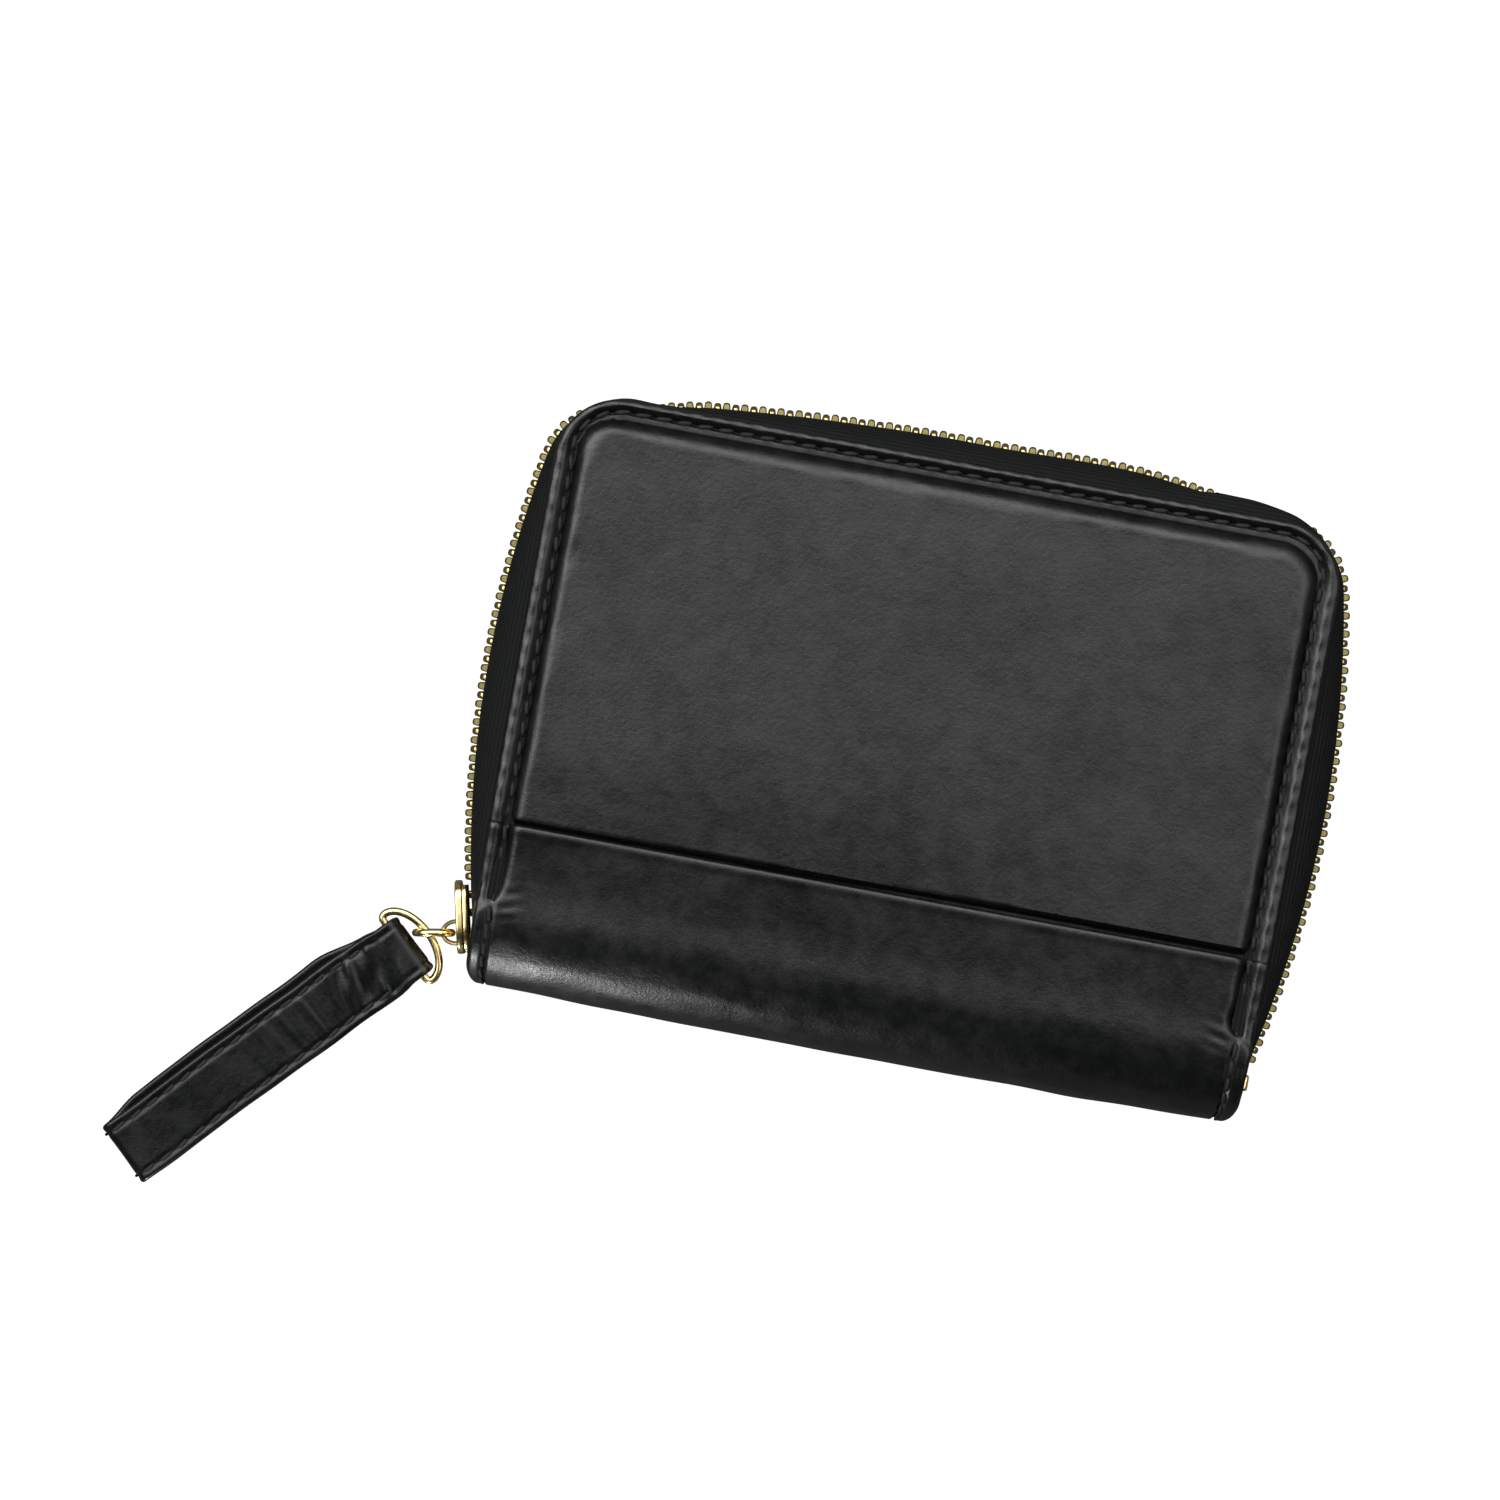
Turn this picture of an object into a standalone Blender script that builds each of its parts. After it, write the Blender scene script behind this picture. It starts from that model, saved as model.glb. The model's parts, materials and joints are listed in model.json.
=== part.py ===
"""Zip around wallet with a wrist pull.

Frame: X runs along the spine, Y from the spine to the zipped top edge, Z through the
thickness. The origin is in the middle of the back cover's raised flat face, which the
wallet rests on. The shapes are worked out from the spine's outer line, with y = 0 there,
and moved to the origin at the end. The front cover swings open about the spine.
"""

import math

import bmesh
import bpy
from mathutils import Matrix, Vector

MM = 0.001

# Driving dimensions of the closed wallet
WIDTH = 110 * MM
HEIGHT = 84 * MM
THICK = 22 * MM
CORNER_R = 9 * MM
LEATHER = 1.0 * MM
PAD_RISE = 1.0 * MM
PAD_INSET = 4.5 * MM
PAD_CORNER_R = 4.0 * MM
BAND_EDGE_Y = 23.2 * MM
GAP = 0.3 * MM
MID_Z = THICK / 2
HALF = WIDTH / 2
SPINE_R = THICK / 2
HINGE_CLEAR_R = 14.9 * MM
PANEL_START_Y = 14 * MM
PAD_TO_BAND = 0.8 * MM
PAD_WALL = 1.6 * MM
HOLLOW_CORNER_R = 2.5 * MM
HOLLOW_CHAMFER = 0.6 * MM
EDGE_CHAMFER = 0.3 * MM
REST_FACE_Y = (BAND_EDGE_Y + PAD_TO_BAND + HEIGHT - PAD_INSET) / 2

# Spine leather and its lining
BAND_T = PAD_RISE - GAP
SPINE_SPLIT_DEG = 75
BAND_START_DEG = 83
SPINE_LINING_HALF_X = 51.5 * MM

# Layers of a cover, measured from the wallet's middle plane outwards
RIM_INNER = SPINE_R - PAD_RISE - LEATHER
BOARD_IN = 7.8 * MM
BOARD_T = 0.9 * MM
LINING_IN = 7.2 * MM
LINING_T = 0.4 * MM
SLOT_T = 0.4 * MM
SLOT_STEP = 1.25 * MM
SLOT_COUNT = 3
LINER_INSET = 4.0 * MM
LINER_START_Y = 14 * MM
LINER_CORNER_R = 6 * MM
SLOT_HALF_X = 47 * MM
SLOT_START_Y = 15 * MM
SLOT_TOP_Y = 68 * MM
SLOT_DROP = 7 * MM
SLOT_CORNER_R = 2 * MM
GUSSET_TOP_Y = 46 * MM
GUSSET_OUTER_X = 51 * MM
GUSSET_FOLD_X = 48.4 * MM
GUSSET_HALF_Z = 6.7 * MM
GUSSET_T = 0.5 * MM

# Outer zip
TRACK_SIDE_X = 58.9 * MM
TRACK_SIDE_Y = 42 * MM
TRACK_SIDE_R = 150 * MM
TRACK_TOP_Y = 86.3 * MM
TRACK_TOP_R = 430 * MM
TRACK_CORNER_R = 10 * MM
TRACK_START_Y = 4 * MM
TAPE_T = 0.5 * MM
TAPE_EDGE = 2.5 * MM
TAPE_BEND = 4.6 * MM
TAPE_TAIL = 8.45 * MM
TAPE_SPINE_R = 9.4 * MM
TOOTH_PITCH = 2.55 * MM
TOOTH_LENGTH = 1.05 * MM
TOOTH_TIP = -0.7 * MM
TOOTH_ROOT = 0.9 * MM
RAIL_EDGE = 2.2 * MM
CHAIN_T = 2.3 * MM
END_TAPE_Y = 9.5 * MM
TAPE_TUCK = 2.4 * MM
TAPE_RIM_GAP = 0.2 * MM
LAST_TOOTH_Y = 8 * MM
STOP_Y = 5.6 * MM
STOP_HALF_Y = 1.2 * MM
STOP_EXTRA = 0.25 * MM

# Slider of the outer zip, in its own frame: s along the zip, n outwards, z through
SLIDER_Y = 9.0 * MM
SLIDER_LENGTH = 10.4 * MM
SLIDER_WIDTH = 8.6 * MM
PLATE_T = 1.1 * MM
CAVITY = 2.8 * MM
FLANGE_W = 1.0 * MM
SLOT_GAP = 1.3 * MM
NECK_W = 1.7 * MM
NECK_START = -5.1 * MM
NECK_END = -2.7 * MM
BRIDGE_START = -4.0 * MM
BRIDGE_END = -0.3 * MM
BRIDGE_T = 0.6 * MM
BRIDGE_W = 2.2 * MM
BRIDGE_HOLE = 1.7 * MM
BLOCK_OVERLAP = 0.05 * MM

# Pull: link, D-ring and strap
WIRE_R = 0.55 * MM
WIRE_GAP = 0.15 * MM
LINK_DEG = 190
LINK_LENGTH = 5.1 * MM
LINK_HALF_W = 2.2 * MM
LINK_TO_D_RING = 3.4 * MM
PULL_DEG = 226.6
PULL_SLOPE_DEG = 9.0
D_RING_R = 5.0 * MM
D_BAR_BACK = 0.9 * MM
STRAP_LENGTH = 53 * MM
STRAP_WIDTH = 9.9 * MM
STRAP_LEATHER = 1.1 * MM
STRAP_EYE = 1.6 * MM
STRAP_SLIT = 0.7 * MM
STRAP_EYE_LENGTH = 4.0 * MM
STRAP_FOLD_SHARE = 0.66
STRAP_SHOULDER = 3 * MM

# Coin pouch between the covers
POUCH_HALF_X = 46 * MM
POUCH_Y = (14.5 * MM, 57 * MM)
POUCH_HALF_Z = 3.2 * MM
POUCH_T = 0.5 * MM
COIN_ZIP_Y = 60 * MM
COIN_ZIP_HALF = 38 * MM
COIN_PITCH = 2.2 * MM
COIN_TOOTH = 0.9 * MM
COIN_TAPE_T = 0.4 * MM
COIN_TAPE_EDGE = 2.0 * MM
COIN_TAPE_BEND = 3.8 * MM
COIN_TAPE_END = 4 * MM
COIN_TAPE_GAP = 0.4 * MM
COIN_LEVELS = (-0.5 * MM, 0.8 * MM, 1.7 * MM)
COIN_CHAIN_T = 1.8 * MM
COIN_SLIDER_X = -36 * MM
COIN_SLIDER_LENGTH = 7 * MM
COIN_SLIDER_WIDTH = 6.4 * MM
COIN_FLANGE_W = 0.8 * MM
COIN_NECK = (-2.9 * MM, -1.2 * MM, 0.6 * MM)
COIN_BRIDGE = (-2.6 * MM, 1.4 * MM, 1.2 * MM, 0.7 * MM, 1.6 * MM)
PULLER_LENGTH = 13 * MM
PULLER_WIDTH = 3.4 * MM
PULLER_T = 0.8 * MM
PULLER_REST_DEG = 25
PULLER_SLOT = (0.45 * MM, 4.2 * MM, 1.1 * MM)
PULLER_OVERLAP = 0.1 * MM


# ---------------------------------------------------------------- scene helpers


def clear_scene():
    for old in list(bpy.data.objects):
        bpy.data.objects.remove(old, do_unlink=True)


def new_collection(name):
    collection = bpy.data.collections.new(name)
    bpy.context.scene.collection.children.link(collection)
    return collection


def surface(name, colour, roughness, metallic=0.0):
    material = bpy.data.materials.new(name)
    material.use_nodes = True
    shader = material.node_tree.nodes["Principled BSDF"]
    shader.inputs["Base Color"].default_value = (*colour, 1.0)
    shader.inputs["Roughness"].default_value = roughness
    shader.inputs["Metallic"].default_value = metallic
    return material


def leather(name):
    return surface(name, (0.035, 0.04, 0.04), 0.45)


def woven(name):
    return surface(name, (0.02, 0.02, 0.025), 0.9)


def lining_cloth(name):
    return surface(name, (0.06, 0.06, 0.065), 0.85)


def brass(name):
    return surface(name, (0.72, 0.55, 0.28), 0.3, 1.0)


def place(name, mesh, material, collection=None):
    obj = bpy.data.objects.new(name, mesh)
    mesh.materials.clear()
    mesh.materials.append(material)
    (collection or WALLET).objects.link(obj)
    return obj


def pivot(name, location):
    empty = bpy.data.objects.new(name, None)
    empty.location = location
    WALLET.objects.link(empty)
    return empty


def hang(obj, empty):
    """Parent obj to the empty without moving it."""
    obj.parent = empty
    obj.matrix_parent_inverse = Matrix.Translation(-Vector(empty.location))


def hang_front():
    """The front cover's pieces turn about the spine's outer line."""
    empty = pivot("cover_pivot", (0, 0, MID_Z))
    for obj in WALLET.objects:
        if obj.name.startswith("front_") or obj.name in ("zip_tape_front", "zip_teeth_front"):
            hang(obj, empty)


def sheet(name, rows, material, thickness, offset=0.0):
    """A strip of quads through rows of points, thickened to a closed sheet."""
    shape = bmesh.new()
    grid = [[shape.verts.new(point) for point in row] for row in rows]
    for row, following in zip(grid, grid[1:]):
        for i in range(len(row) - 1):
            shape.faces.new((row[i], row[i + 1], following[i + 1], following[i]))
    mesh = bpy.data.meshes.new(name)
    shape.to_mesh(mesh)
    shape.free()
    obj = place(name, mesh, material)
    thicken(obj, thickness, offset)
    return obj


def thicken(obj, thickness, offset=0.0):
    solid = obj.modifiers.new("thickness", "SOLIDIFY")
    solid.thickness = thickness
    solid.offset = offset
    solid.use_even_offset = True


def lofted(name, rings, material):
    """A closed solid through rings of equal point count, capped at both ends."""
    shape = bmesh.new()
    loops = [[shape.verts.new(point) for point in ring] for ring in rings]
    count = len(loops[0])
    for lower, upper in zip(loops, loops[1:]):
        for i in range(count):
            j = (i + 1) % count
            shape.faces.new((lower[i], lower[j], upper[j], upper[i]))
    shape.faces.new(list(reversed(loops[0])))
    shape.faces.new(loops[-1])
    bmesh.ops.recalc_face_normals(shape, faces=shape.faces)
    mesh = bpy.data.meshes.new(name)
    shape.to_mesh(mesh)
    shape.free()
    return place(name, mesh, material)


def plate(name, outline, z_low, z_high, material):
    """A flat outline with a thickness, as a filled 2D curve."""
    curve = bpy.data.curves.new(name, "CURVE")
    curve.dimensions = "2D"
    curve.fill_mode = "BOTH"
    curve.extrude = (z_high - z_low) / 2
    line = curve.splines.new("POLY")
    line.points.add(len(outline) - 1)
    for target, (x, y) in zip(line.points, outline):
        target.co = (x, y, 0, 1)
    line.use_cyclic_u = True
    curve.materials.append(material)
    obj = bpy.data.objects.new(name, curve)
    obj.location.z = (z_high + z_low) / 2
    WALLET.objects.link(obj)
    return obj


def wire(name, points, radius, material):
    """A closed loop of round wire."""
    curve = bpy.data.curves.new(name, "CURVE")
    curve.dimensions = "3D"
    curve.bevel_depth = radius
    curve.bevel_resolution = 1
    line = curve.splines.new("POLY")
    line.points.add(len(points) - 1)
    for target, point in zip(line.points, points):
        target.co = (*point, 1)
    line.use_cyclic_u = True
    curve.materials.append(material)
    obj = bpy.data.objects.new(name, curve)
    WALLET.objects.link(obj)
    return obj


def box_mesh(name, low, high):
    bpy.ops.mesh.primitive_cube_add(size=1)
    cube = bpy.context.active_object
    mesh = cube.data
    mesh.name = name
    low, high = Vector(low), Vector(high)
    size = high - low
    mesh.transform(Matrix.Translation((low + high) / 2) @ Matrix.Diagonal((*size, 1)))
    bpy.data.objects.remove(cube, do_unlink=True)
    return mesh


def joined(name, boxes, material, matrix):
    """One solid from overlapping boxes, unioned in order, then moved by matrix."""
    base = place(name, box_mesh(name, *boxes[0]), material)
    for i, (low, high) in enumerate(boxes[1:]):
        tool = place(f"{name}_block_{i}", box_mesh(name, low, high), material, TOOLS)
        tool.matrix_world = matrix
        tool.hide_render = True
        tool.display_type = "WIRE"
        union = base.modifiers.new(f"join_{i}", "BOOLEAN")
        union.operation = "UNION"
        union.solver = "EXACT"
        union.object = tool
    base.matrix_world = matrix
    return base


# ------------------------------------------------------------- outlines and paths


def arc_points(centre, radius, start, end, count):
    points = []
    for i in range(count + 1):
        angle = math.radians(start + (end - start) * i / count)
        points.append((centre[0] + radius * math.cos(angle), centre[1] + radius * math.sin(angle)))
    return points


def cover_outline(inset, start_y, corner_r, steps=6):
    """Rectangle with two rounded top corners, inset from the leather's edge."""
    x, top = HALF - inset, HEIGHT - inset
    outline = [(-x, start_y), (x, start_y)]
    outline += arc_points((x - corner_r, top - corner_r), corner_r, 0, 90, steps)
    outline += arc_points((corner_r - x, top - corner_r), corner_r, 90, 180, steps)
    return outline


def corner_centre():
    """Centre of the fillet that touches the left side arc and the top arc from inside."""
    side = Vector((TRACK_SIDE_R - TRACK_SIDE_X, TRACK_SIDE_Y))
    top = Vector((0, TRACK_TOP_Y - TRACK_TOP_R))
    reach_side = TRACK_SIDE_R - TRACK_CORNER_R
    reach_top = TRACK_TOP_R - TRACK_CORNER_R
    between = side - top
    gap = between.length
    along = (reach_top**2 - reach_side**2 + gap**2) / (2 * gap)
    across = math.sqrt(reach_top**2 - along**2)
    direction = between.normalized()
    return top + direction * along + Vector((-direction.y, direction.x)) * across


def angle_of(vector):
    return math.degrees(math.atan2(vector.y, vector.x))


def zip_arcs():
    """The closed zip seen from above: (centre, radius, start, end) from left to right."""
    side = Vector((TRACK_SIDE_R - TRACK_SIDE_X, TRACK_SIDE_Y))
    top = Vector((0, TRACK_TOP_Y - TRACK_TOP_R))
    fillet = corner_centre()
    drop = (TRACK_SIDE_Y - TRACK_START_Y) / TRACK_SIDE_R
    low = 180 + math.degrees(math.asin(drop))
    to_side = angle_of(fillet - side)
    to_top = angle_of(fillet - top)
    mirrored_side = Vector((-side.x, side.y))
    mirrored_fillet = Vector((-fillet.x, fillet.y))
    return [
        (side, TRACK_SIDE_R, low, to_side),
        (fillet, TRACK_CORNER_R, to_side, to_top),
        (top, TRACK_TOP_R, to_top, 180 - to_top),
        (mirrored_fillet, TRACK_CORNER_R, 180 - to_top, 180 - to_side),
        (mirrored_side, TRACK_SIDE_R, 180 - to_side, 180 - low),
    ]


def on_arc(arc, share):
    centre, radius, start, end = arc
    angle = math.radians(start + (end - start) * share)
    return centre + radius * Vector((math.cos(angle), math.sin(angle)))


def zip_point(distance):
    """Point of the zip at a distance from its left end."""
    for arc in ZIP_ARCS:
        length = arc[1] * math.radians(abs(arc[3] - arc[2]))
        if distance <= length or arc is ZIP_ARCS[-1]:
            return on_arc(arc, distance / length)
        distance -= length


def zip_length():
    return sum(arc[1] * math.radians(abs(arc[3] - arc[2])) for arc in ZIP_ARCS)


def side_distance(y):
    """Distance along the zip from its left end to height y on the left side."""
    start = math.asin((TRACK_SIDE_Y - TRACK_START_Y) / TRACK_SIDE_R)
    stop = math.asin((TRACK_SIDE_Y - y) / TRACK_SIDE_R)
    return TRACK_SIDE_R * (start - stop)


def rim_point(part, share, start_y):
    """Point on the leather's edge, with its inward direction, matched to a zip arc."""
    x, y = HALF, HEIGHT - CORNER_R
    if part == 0:
        return Vector((-x, start_y + (y - start_y) * share)), Vector((1, 0))
    if part == 2:
        return Vector(((x - CORNER_R) * (2 * share - 1), HEIGHT)), Vector((0, -1))
    if part == 4:
        return Vector((x, y - (y - start_y) * share)), Vector((-1, 0))
    centre = Vector((-x + CORNER_R, y) if part == 1 else (x - CORNER_R, y))
    angle = math.radians(180 - 90 * share if part == 1 else 90 - 90 * share)
    outward = Vector((math.cos(angle), math.sin(angle)))
    return centre + CORNER_R * outward, -outward


def tail_height(y):
    """Half thickness left for the tape's tail, which follows the spine's inside."""
    if y >= SPINE_R:
        return TAPE_TAIL
    inside = math.sqrt(TAPE_SPINE_R**2 - (SPINE_R - y) ** 2)
    return min(TAPE_TAIL, inside)


# ------------------------------------------------------------------------ covers


def leather_panel(name, side):
    """Outer leather: a stitched rim, and a raised centre with a hollow for the padding."""

    def ring(inset, height, start, radius):
        z = MID_Z + side * height
        return [(x, y, z) for x, y in cover_outline(inset, start, radius)]

    low, chamfer, step = PANEL_START_Y, EDGE_CHAMFER, HOLLOW_CHAMFER
    pad_low = BAND_EDGE_Y + PAD_TO_BAND
    face = SPINE_R - PAD_RISE
    top = SPINE_R - LEATHER
    hollow = PAD_INSET + PAD_WALL
    hollow_low = pad_low + PAD_WALL
    shoulder = 0.9 * PAD_RISE
    rings = [
        ring(hollow + step, top, hollow_low + step, HOLLOW_CORNER_R - step),
        ring(hollow, top - 0.7 * step, hollow_low, HOLLOW_CORNER_R),
        ring(hollow, RIM_INNER, hollow_low, HOLLOW_CORNER_R),
        ring(0, RIM_INNER, low, CORNER_R),
        ring(0, face - chamfer, low, CORNER_R),
        ring(chamfer, face, low + chamfer, CORNER_R - chamfer),
        ring(PAD_INSET - step, face, pad_low - step, PAD_CORNER_R),
        ring(PAD_INSET, SPINE_R - 0.4 * PAD_RISE, pad_low, PAD_CORNER_R),
        ring(PAD_INSET + shoulder, SPINE_R, pad_low + shoulder, PAD_CORNER_R - shoulder),
    ]
    return lofted(name, rings, leather(name))


def level(side, inner, thickness):
    """Low and high z of a layer that starts at a height above the middle plane."""
    ends = (MID_Z + side * inner, MID_Z + side * (inner + thickness))
    return min(ends), max(ends)


def padding(name, side):
    edge = PAD_WALL + HOLLOW_CHAMFER + GAP
    start = BAND_EDGE_Y + PAD_TO_BAND + edge
    low, high = level(side, RIM_INNER, PAD_RISE - GAP)
    foam = surface(name, (0.75, 0.73, 0.62), 0.95)
    return plate(name, cover_outline(PAD_INSET + edge, start, HOLLOW_CORNER_R), low, high, foam)


def liner_outline():
    return cover_outline(LINER_INSET, LINER_START_Y, LINER_CORNER_R)


def board(name, side):
    low, high = level(side, BOARD_IN, BOARD_T)
    stiff = surface(name, (0.45, 0.38, 0.3), 0.9)
    return plate(name, liner_outline(), low, high, stiff)


def lining(name, side):
    low, high = level(side, LINING_IN, LINING_T)
    return plate(name, liner_outline(), low, high, lining_cloth(name))


def card_slots(cover, side):
    """Stepped pocket sheets, each one shorter and nearer the middle than the last."""
    for i in range(SLOT_COUNT):
        x, radius = SLOT_HALF_X, SLOT_CORNER_R
        top = SLOT_TOP_Y - i * SLOT_DROP
        inner = LINING_IN - (i + 1) * SLOT_STEP
        low, high = level(side, inner, SLOT_T)
        outline = [(-x, SLOT_START_Y), (x, SLOT_START_Y)]
        outline += arc_points((x - radius, top - radius), radius, 0, 90, 3)
        outline += arc_points((radius - x, top - radius), radius, 90, 180, 3)
        name = f"{cover}_card_slot_{i + 1}"
        plate(name, outline, low, high, leather(name))


def cover(name, side):
    leather_panel(f"{name}_panel", side)
    padding(f"{name}_padding", side)
    board(f"{name}_board", side)
    lining(f"{name}_lining", side)
    card_slots(name, side)


# ------------------------------------------------------------------------- spine


def spine_arc(radius, start, end, count):
    """Points (y, z) round the spine, from the back face (-90) to the front face (90)."""
    points = []
    for i in range(count + 1):
        angle = math.radians(start + (end - start) * i / count)
        points.append((SPINE_R - radius * math.cos(angle), MID_Z + radius * math.sin(angle)))
    return points


def across_spine(name, profile, half_x, thickness, material):
    rows = [[(x, y, z) for y, z in profile] for x in (-half_x, half_x)]
    return sheet(name, rows, material, thickness)


def spine_cover():
    """Back band and spine in one sheet, up to the line that the front cover leaves from."""
    middle = SPINE_R - BAND_T / 2
    profile = [(BAND_EDGE_Y, MID_Z - middle)]
    profile += spine_arc(middle, -90, SPINE_SPLIT_DEG, 14)
    across_spine("spine_cover", profile, HALF, BAND_T, leather("spine_cover"))


def front_band():
    """The same leather's front end, which lies on the front panel and moves with it."""
    middle = SPINE_R - BAND_T / 2
    profile = spine_arc(middle, BAND_START_DEG, 90, 1) + [(BAND_EDGE_Y, MID_Z + middle)]
    across_spine("front_band", profile, HALF, BAND_T, leather("front_band"))


def spine_lining():
    profile = spine_arc(TAPE_SPINE_R, -90, SPINE_SPLIT_DEG, 12)
    cloth = lining_cloth("spine_lining")
    across_spine("spine_lining", profile, SPINE_LINING_HALF_X, LINING_T, cloth)


def side_gusset(name, side):
    """Cloth folded inwards at the side of the covers; it limits how far they open."""
    edge = (GUSSET_OUTER_X, GUSSET_HALF_Z)
    fold = [edge, (GUSSET_FOLD_X, 0), (edge[0], -edge[1])]
    ends = (SLOT_START_Y, GUSSET_TOP_Y)
    rows = [[(side * x, y, MID_Z + z) for x, z in fold] for y in ends]
    sheet(name, rows, lining_cloth(name), GUSSET_T)


# --------------------------------------------------------------------- outer zip


def tape_rows(side, parts, start_y, steps):
    """Rows of points across one tape: upright at the teeth, then in under the leather."""
    rows = []
    for part in parts:
        for i in range(steps[part] + 1):
            if i == 0 and rows:
                continue
            share = i / steps[part]
            track = on_arc(trimmed(ZIP_ARCS[part], part, start_y), share)
            rim, inward = rim_point(part, share, start_y)
            tail = tail_height(min(track.y, rim.y))
            tuck = rim + inward * TAPE_TUCK
            under = rim + inward * TAPE_RIM_GAP
            section = [
                (track, TAPE_EDGE),
                (track, TAPE_BEND),
                (under, tail),
                (tuck, tail),
            ]
            rows.append([(p.x, p.y, MID_Z + side * z) for p, z in section])
    return rows


def trimmed(arc, part, start_y):
    """Cut a side arc so that the zip starts or ends at start_y."""
    if part not in (0, 4):
        return arc
    centre, radius, start, end = arc
    drop = math.degrees(math.asin((TRACK_SIDE_Y - start_y) / TRACK_SIDE_R))
    if part == 0:
        return (centre, radius, 180 + drop, end)
    return (centre, radius, start, -drop)


def zip_tape(name, side, start_y):
    steps = {0: 7, 1: 6, 2: 4, 3: 6, 4: 7}
    sheet(name, tape_rows(side, range(5), start_y, steps), woven(name), TAPE_T)


def end_tape(name, left):
    """Short piece of the front tape that stays with the spine."""
    part = 0 if left else 4
    rows = []
    for i in range(4):
        y = TRACK_START_Y + (END_TAPE_Y - TRACK_START_Y) * i / 3
        angle = math.asin((TRACK_SIDE_Y - y) / TRACK_SIDE_R)
        x = TRACK_SIDE_R * math.cos(angle) - (TRACK_SIDE_R - TRACK_SIDE_X)
        tail = tail_height(y)
        section = [(x, TAPE_EDGE), (x, TAPE_BEND)]
        section += [(HALF - TAPE_RIM_GAP, tail), (HALF - TAPE_TUCK, tail)]
        sign = -1 if part == 0 else 1
        rows.append([(sign * px, y, MID_Z + z) for px, z in section])
    sheet(name, rows, woven(name), TAPE_T)


def tooth_row(name, side, first, last, point, pitch, tooth, levels, thickness):
    """A rail with teeth: a comb of quads laid along a path, then thickened."""
    tip, root, edge = levels
    shape = bmesh.new()

    def column(distance, z):
        x, y = point(distance)
        return shape.verts.new((x, y, MID_Z + side * z))

    count = int((last - first) / pitch)
    ends = []
    for i in range(count):
        start = first + i * pitch
        ends.append((start, True))
        ends.append((start + tooth, False))
    ends.append((first + count * pitch, True))
    ends.append((first + count * pitch + tooth, False))
    rail = [(column(d, root), column(d, edge)) for d, _ in ends]
    for i, ((low, high), (next_low, next_high)) in enumerate(zip(rail, rail[1:])):
        shape.faces.new((low, next_low, next_high, high))
        if ends[i][1]:
            near = column(ends[i][0], tip)
            far = column(ends[i + 1][0], tip)
            shape.faces.new((near, far, next_low, low))
    bmesh.ops.recalc_face_normals(shape, faces=shape.faces)
    mesh = bpy.data.meshes.new(name)
    shape.to_mesh(mesh)
    shape.free()
    thicken(place(name, mesh, brass(name)), thickness)


def outer_zip():
    levels = (TOOTH_TIP, TOOTH_ROOT, RAIL_EDGE)
    chain = (zip_point, TOOTH_PITCH, TOOTH_LENGTH, levels, CHAIN_T)
    # The first tooth of each row is on the same pitch grid, half a pitch apart
    grid = side_distance(SLIDER_Y)
    half = TOOTH_PITCH / 2
    end = zip_length() - side_distance(LAST_TOOTH_Y)
    front_y = HINGE_CLEAR_R + GAP
    tooth_row("zip_teeth_back", -1, grid, end, *chain)
    front_first = grid + half + TOOTH_PITCH * math.ceil(
        (side_distance(front_y) - grid - half) / TOOTH_PITCH
    )
    front_last = zip_length() - side_distance(front_y) - TOOTH_LENGTH
    tooth_row("zip_teeth_front", 1, front_first, front_last, *chain)
    zip_tape("zip_tape_back", -1, TRACK_START_Y)
    zip_tape("zip_tape_front", 1, front_y)
    end_tape("zip_end_tape_left", True)
    end_tape("zip_end_tape_right", False)
    bottom_stop()


def bottom_stop():
    """Staple that closes the zip at its right end."""
    where = zip_point(zip_length() - side_distance(STOP_Y))
    half = Vector((CHAIN_T / 2 + STOP_EXTRA, STOP_HALF_Y, RAIL_EDGE))
    centre = Vector((where.x, where.y, MID_Z))
    mesh = box_mesh("zip_stop", centre - half, centre + half)
    place("zip_stop", mesh, brass("zip_stop"))


# ------------------------------------------------------------- slider and pull


def slider_angle(y):
    """Turn of the side arc's radius, in radians, that puts the slider at height y."""
    return math.asin((TRACK_SIDE_Y - y) / TRACK_SIDE_R)


def track_pivot():
    return Vector((TRACK_SIDE_R - TRACK_SIDE_X, TRACK_SIDE_Y, MID_Z))


def slider_frame():
    """Slider frame at rest: x points inwards, y along the zip, z up."""
    turn = Matrix.Rotation(slider_angle(SLIDER_Y), 4, "Z")
    return Matrix.Translation(track_pivot()) @ turn @ Matrix.Translation((-TRACK_SIDE_R, 0, 0))


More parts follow.
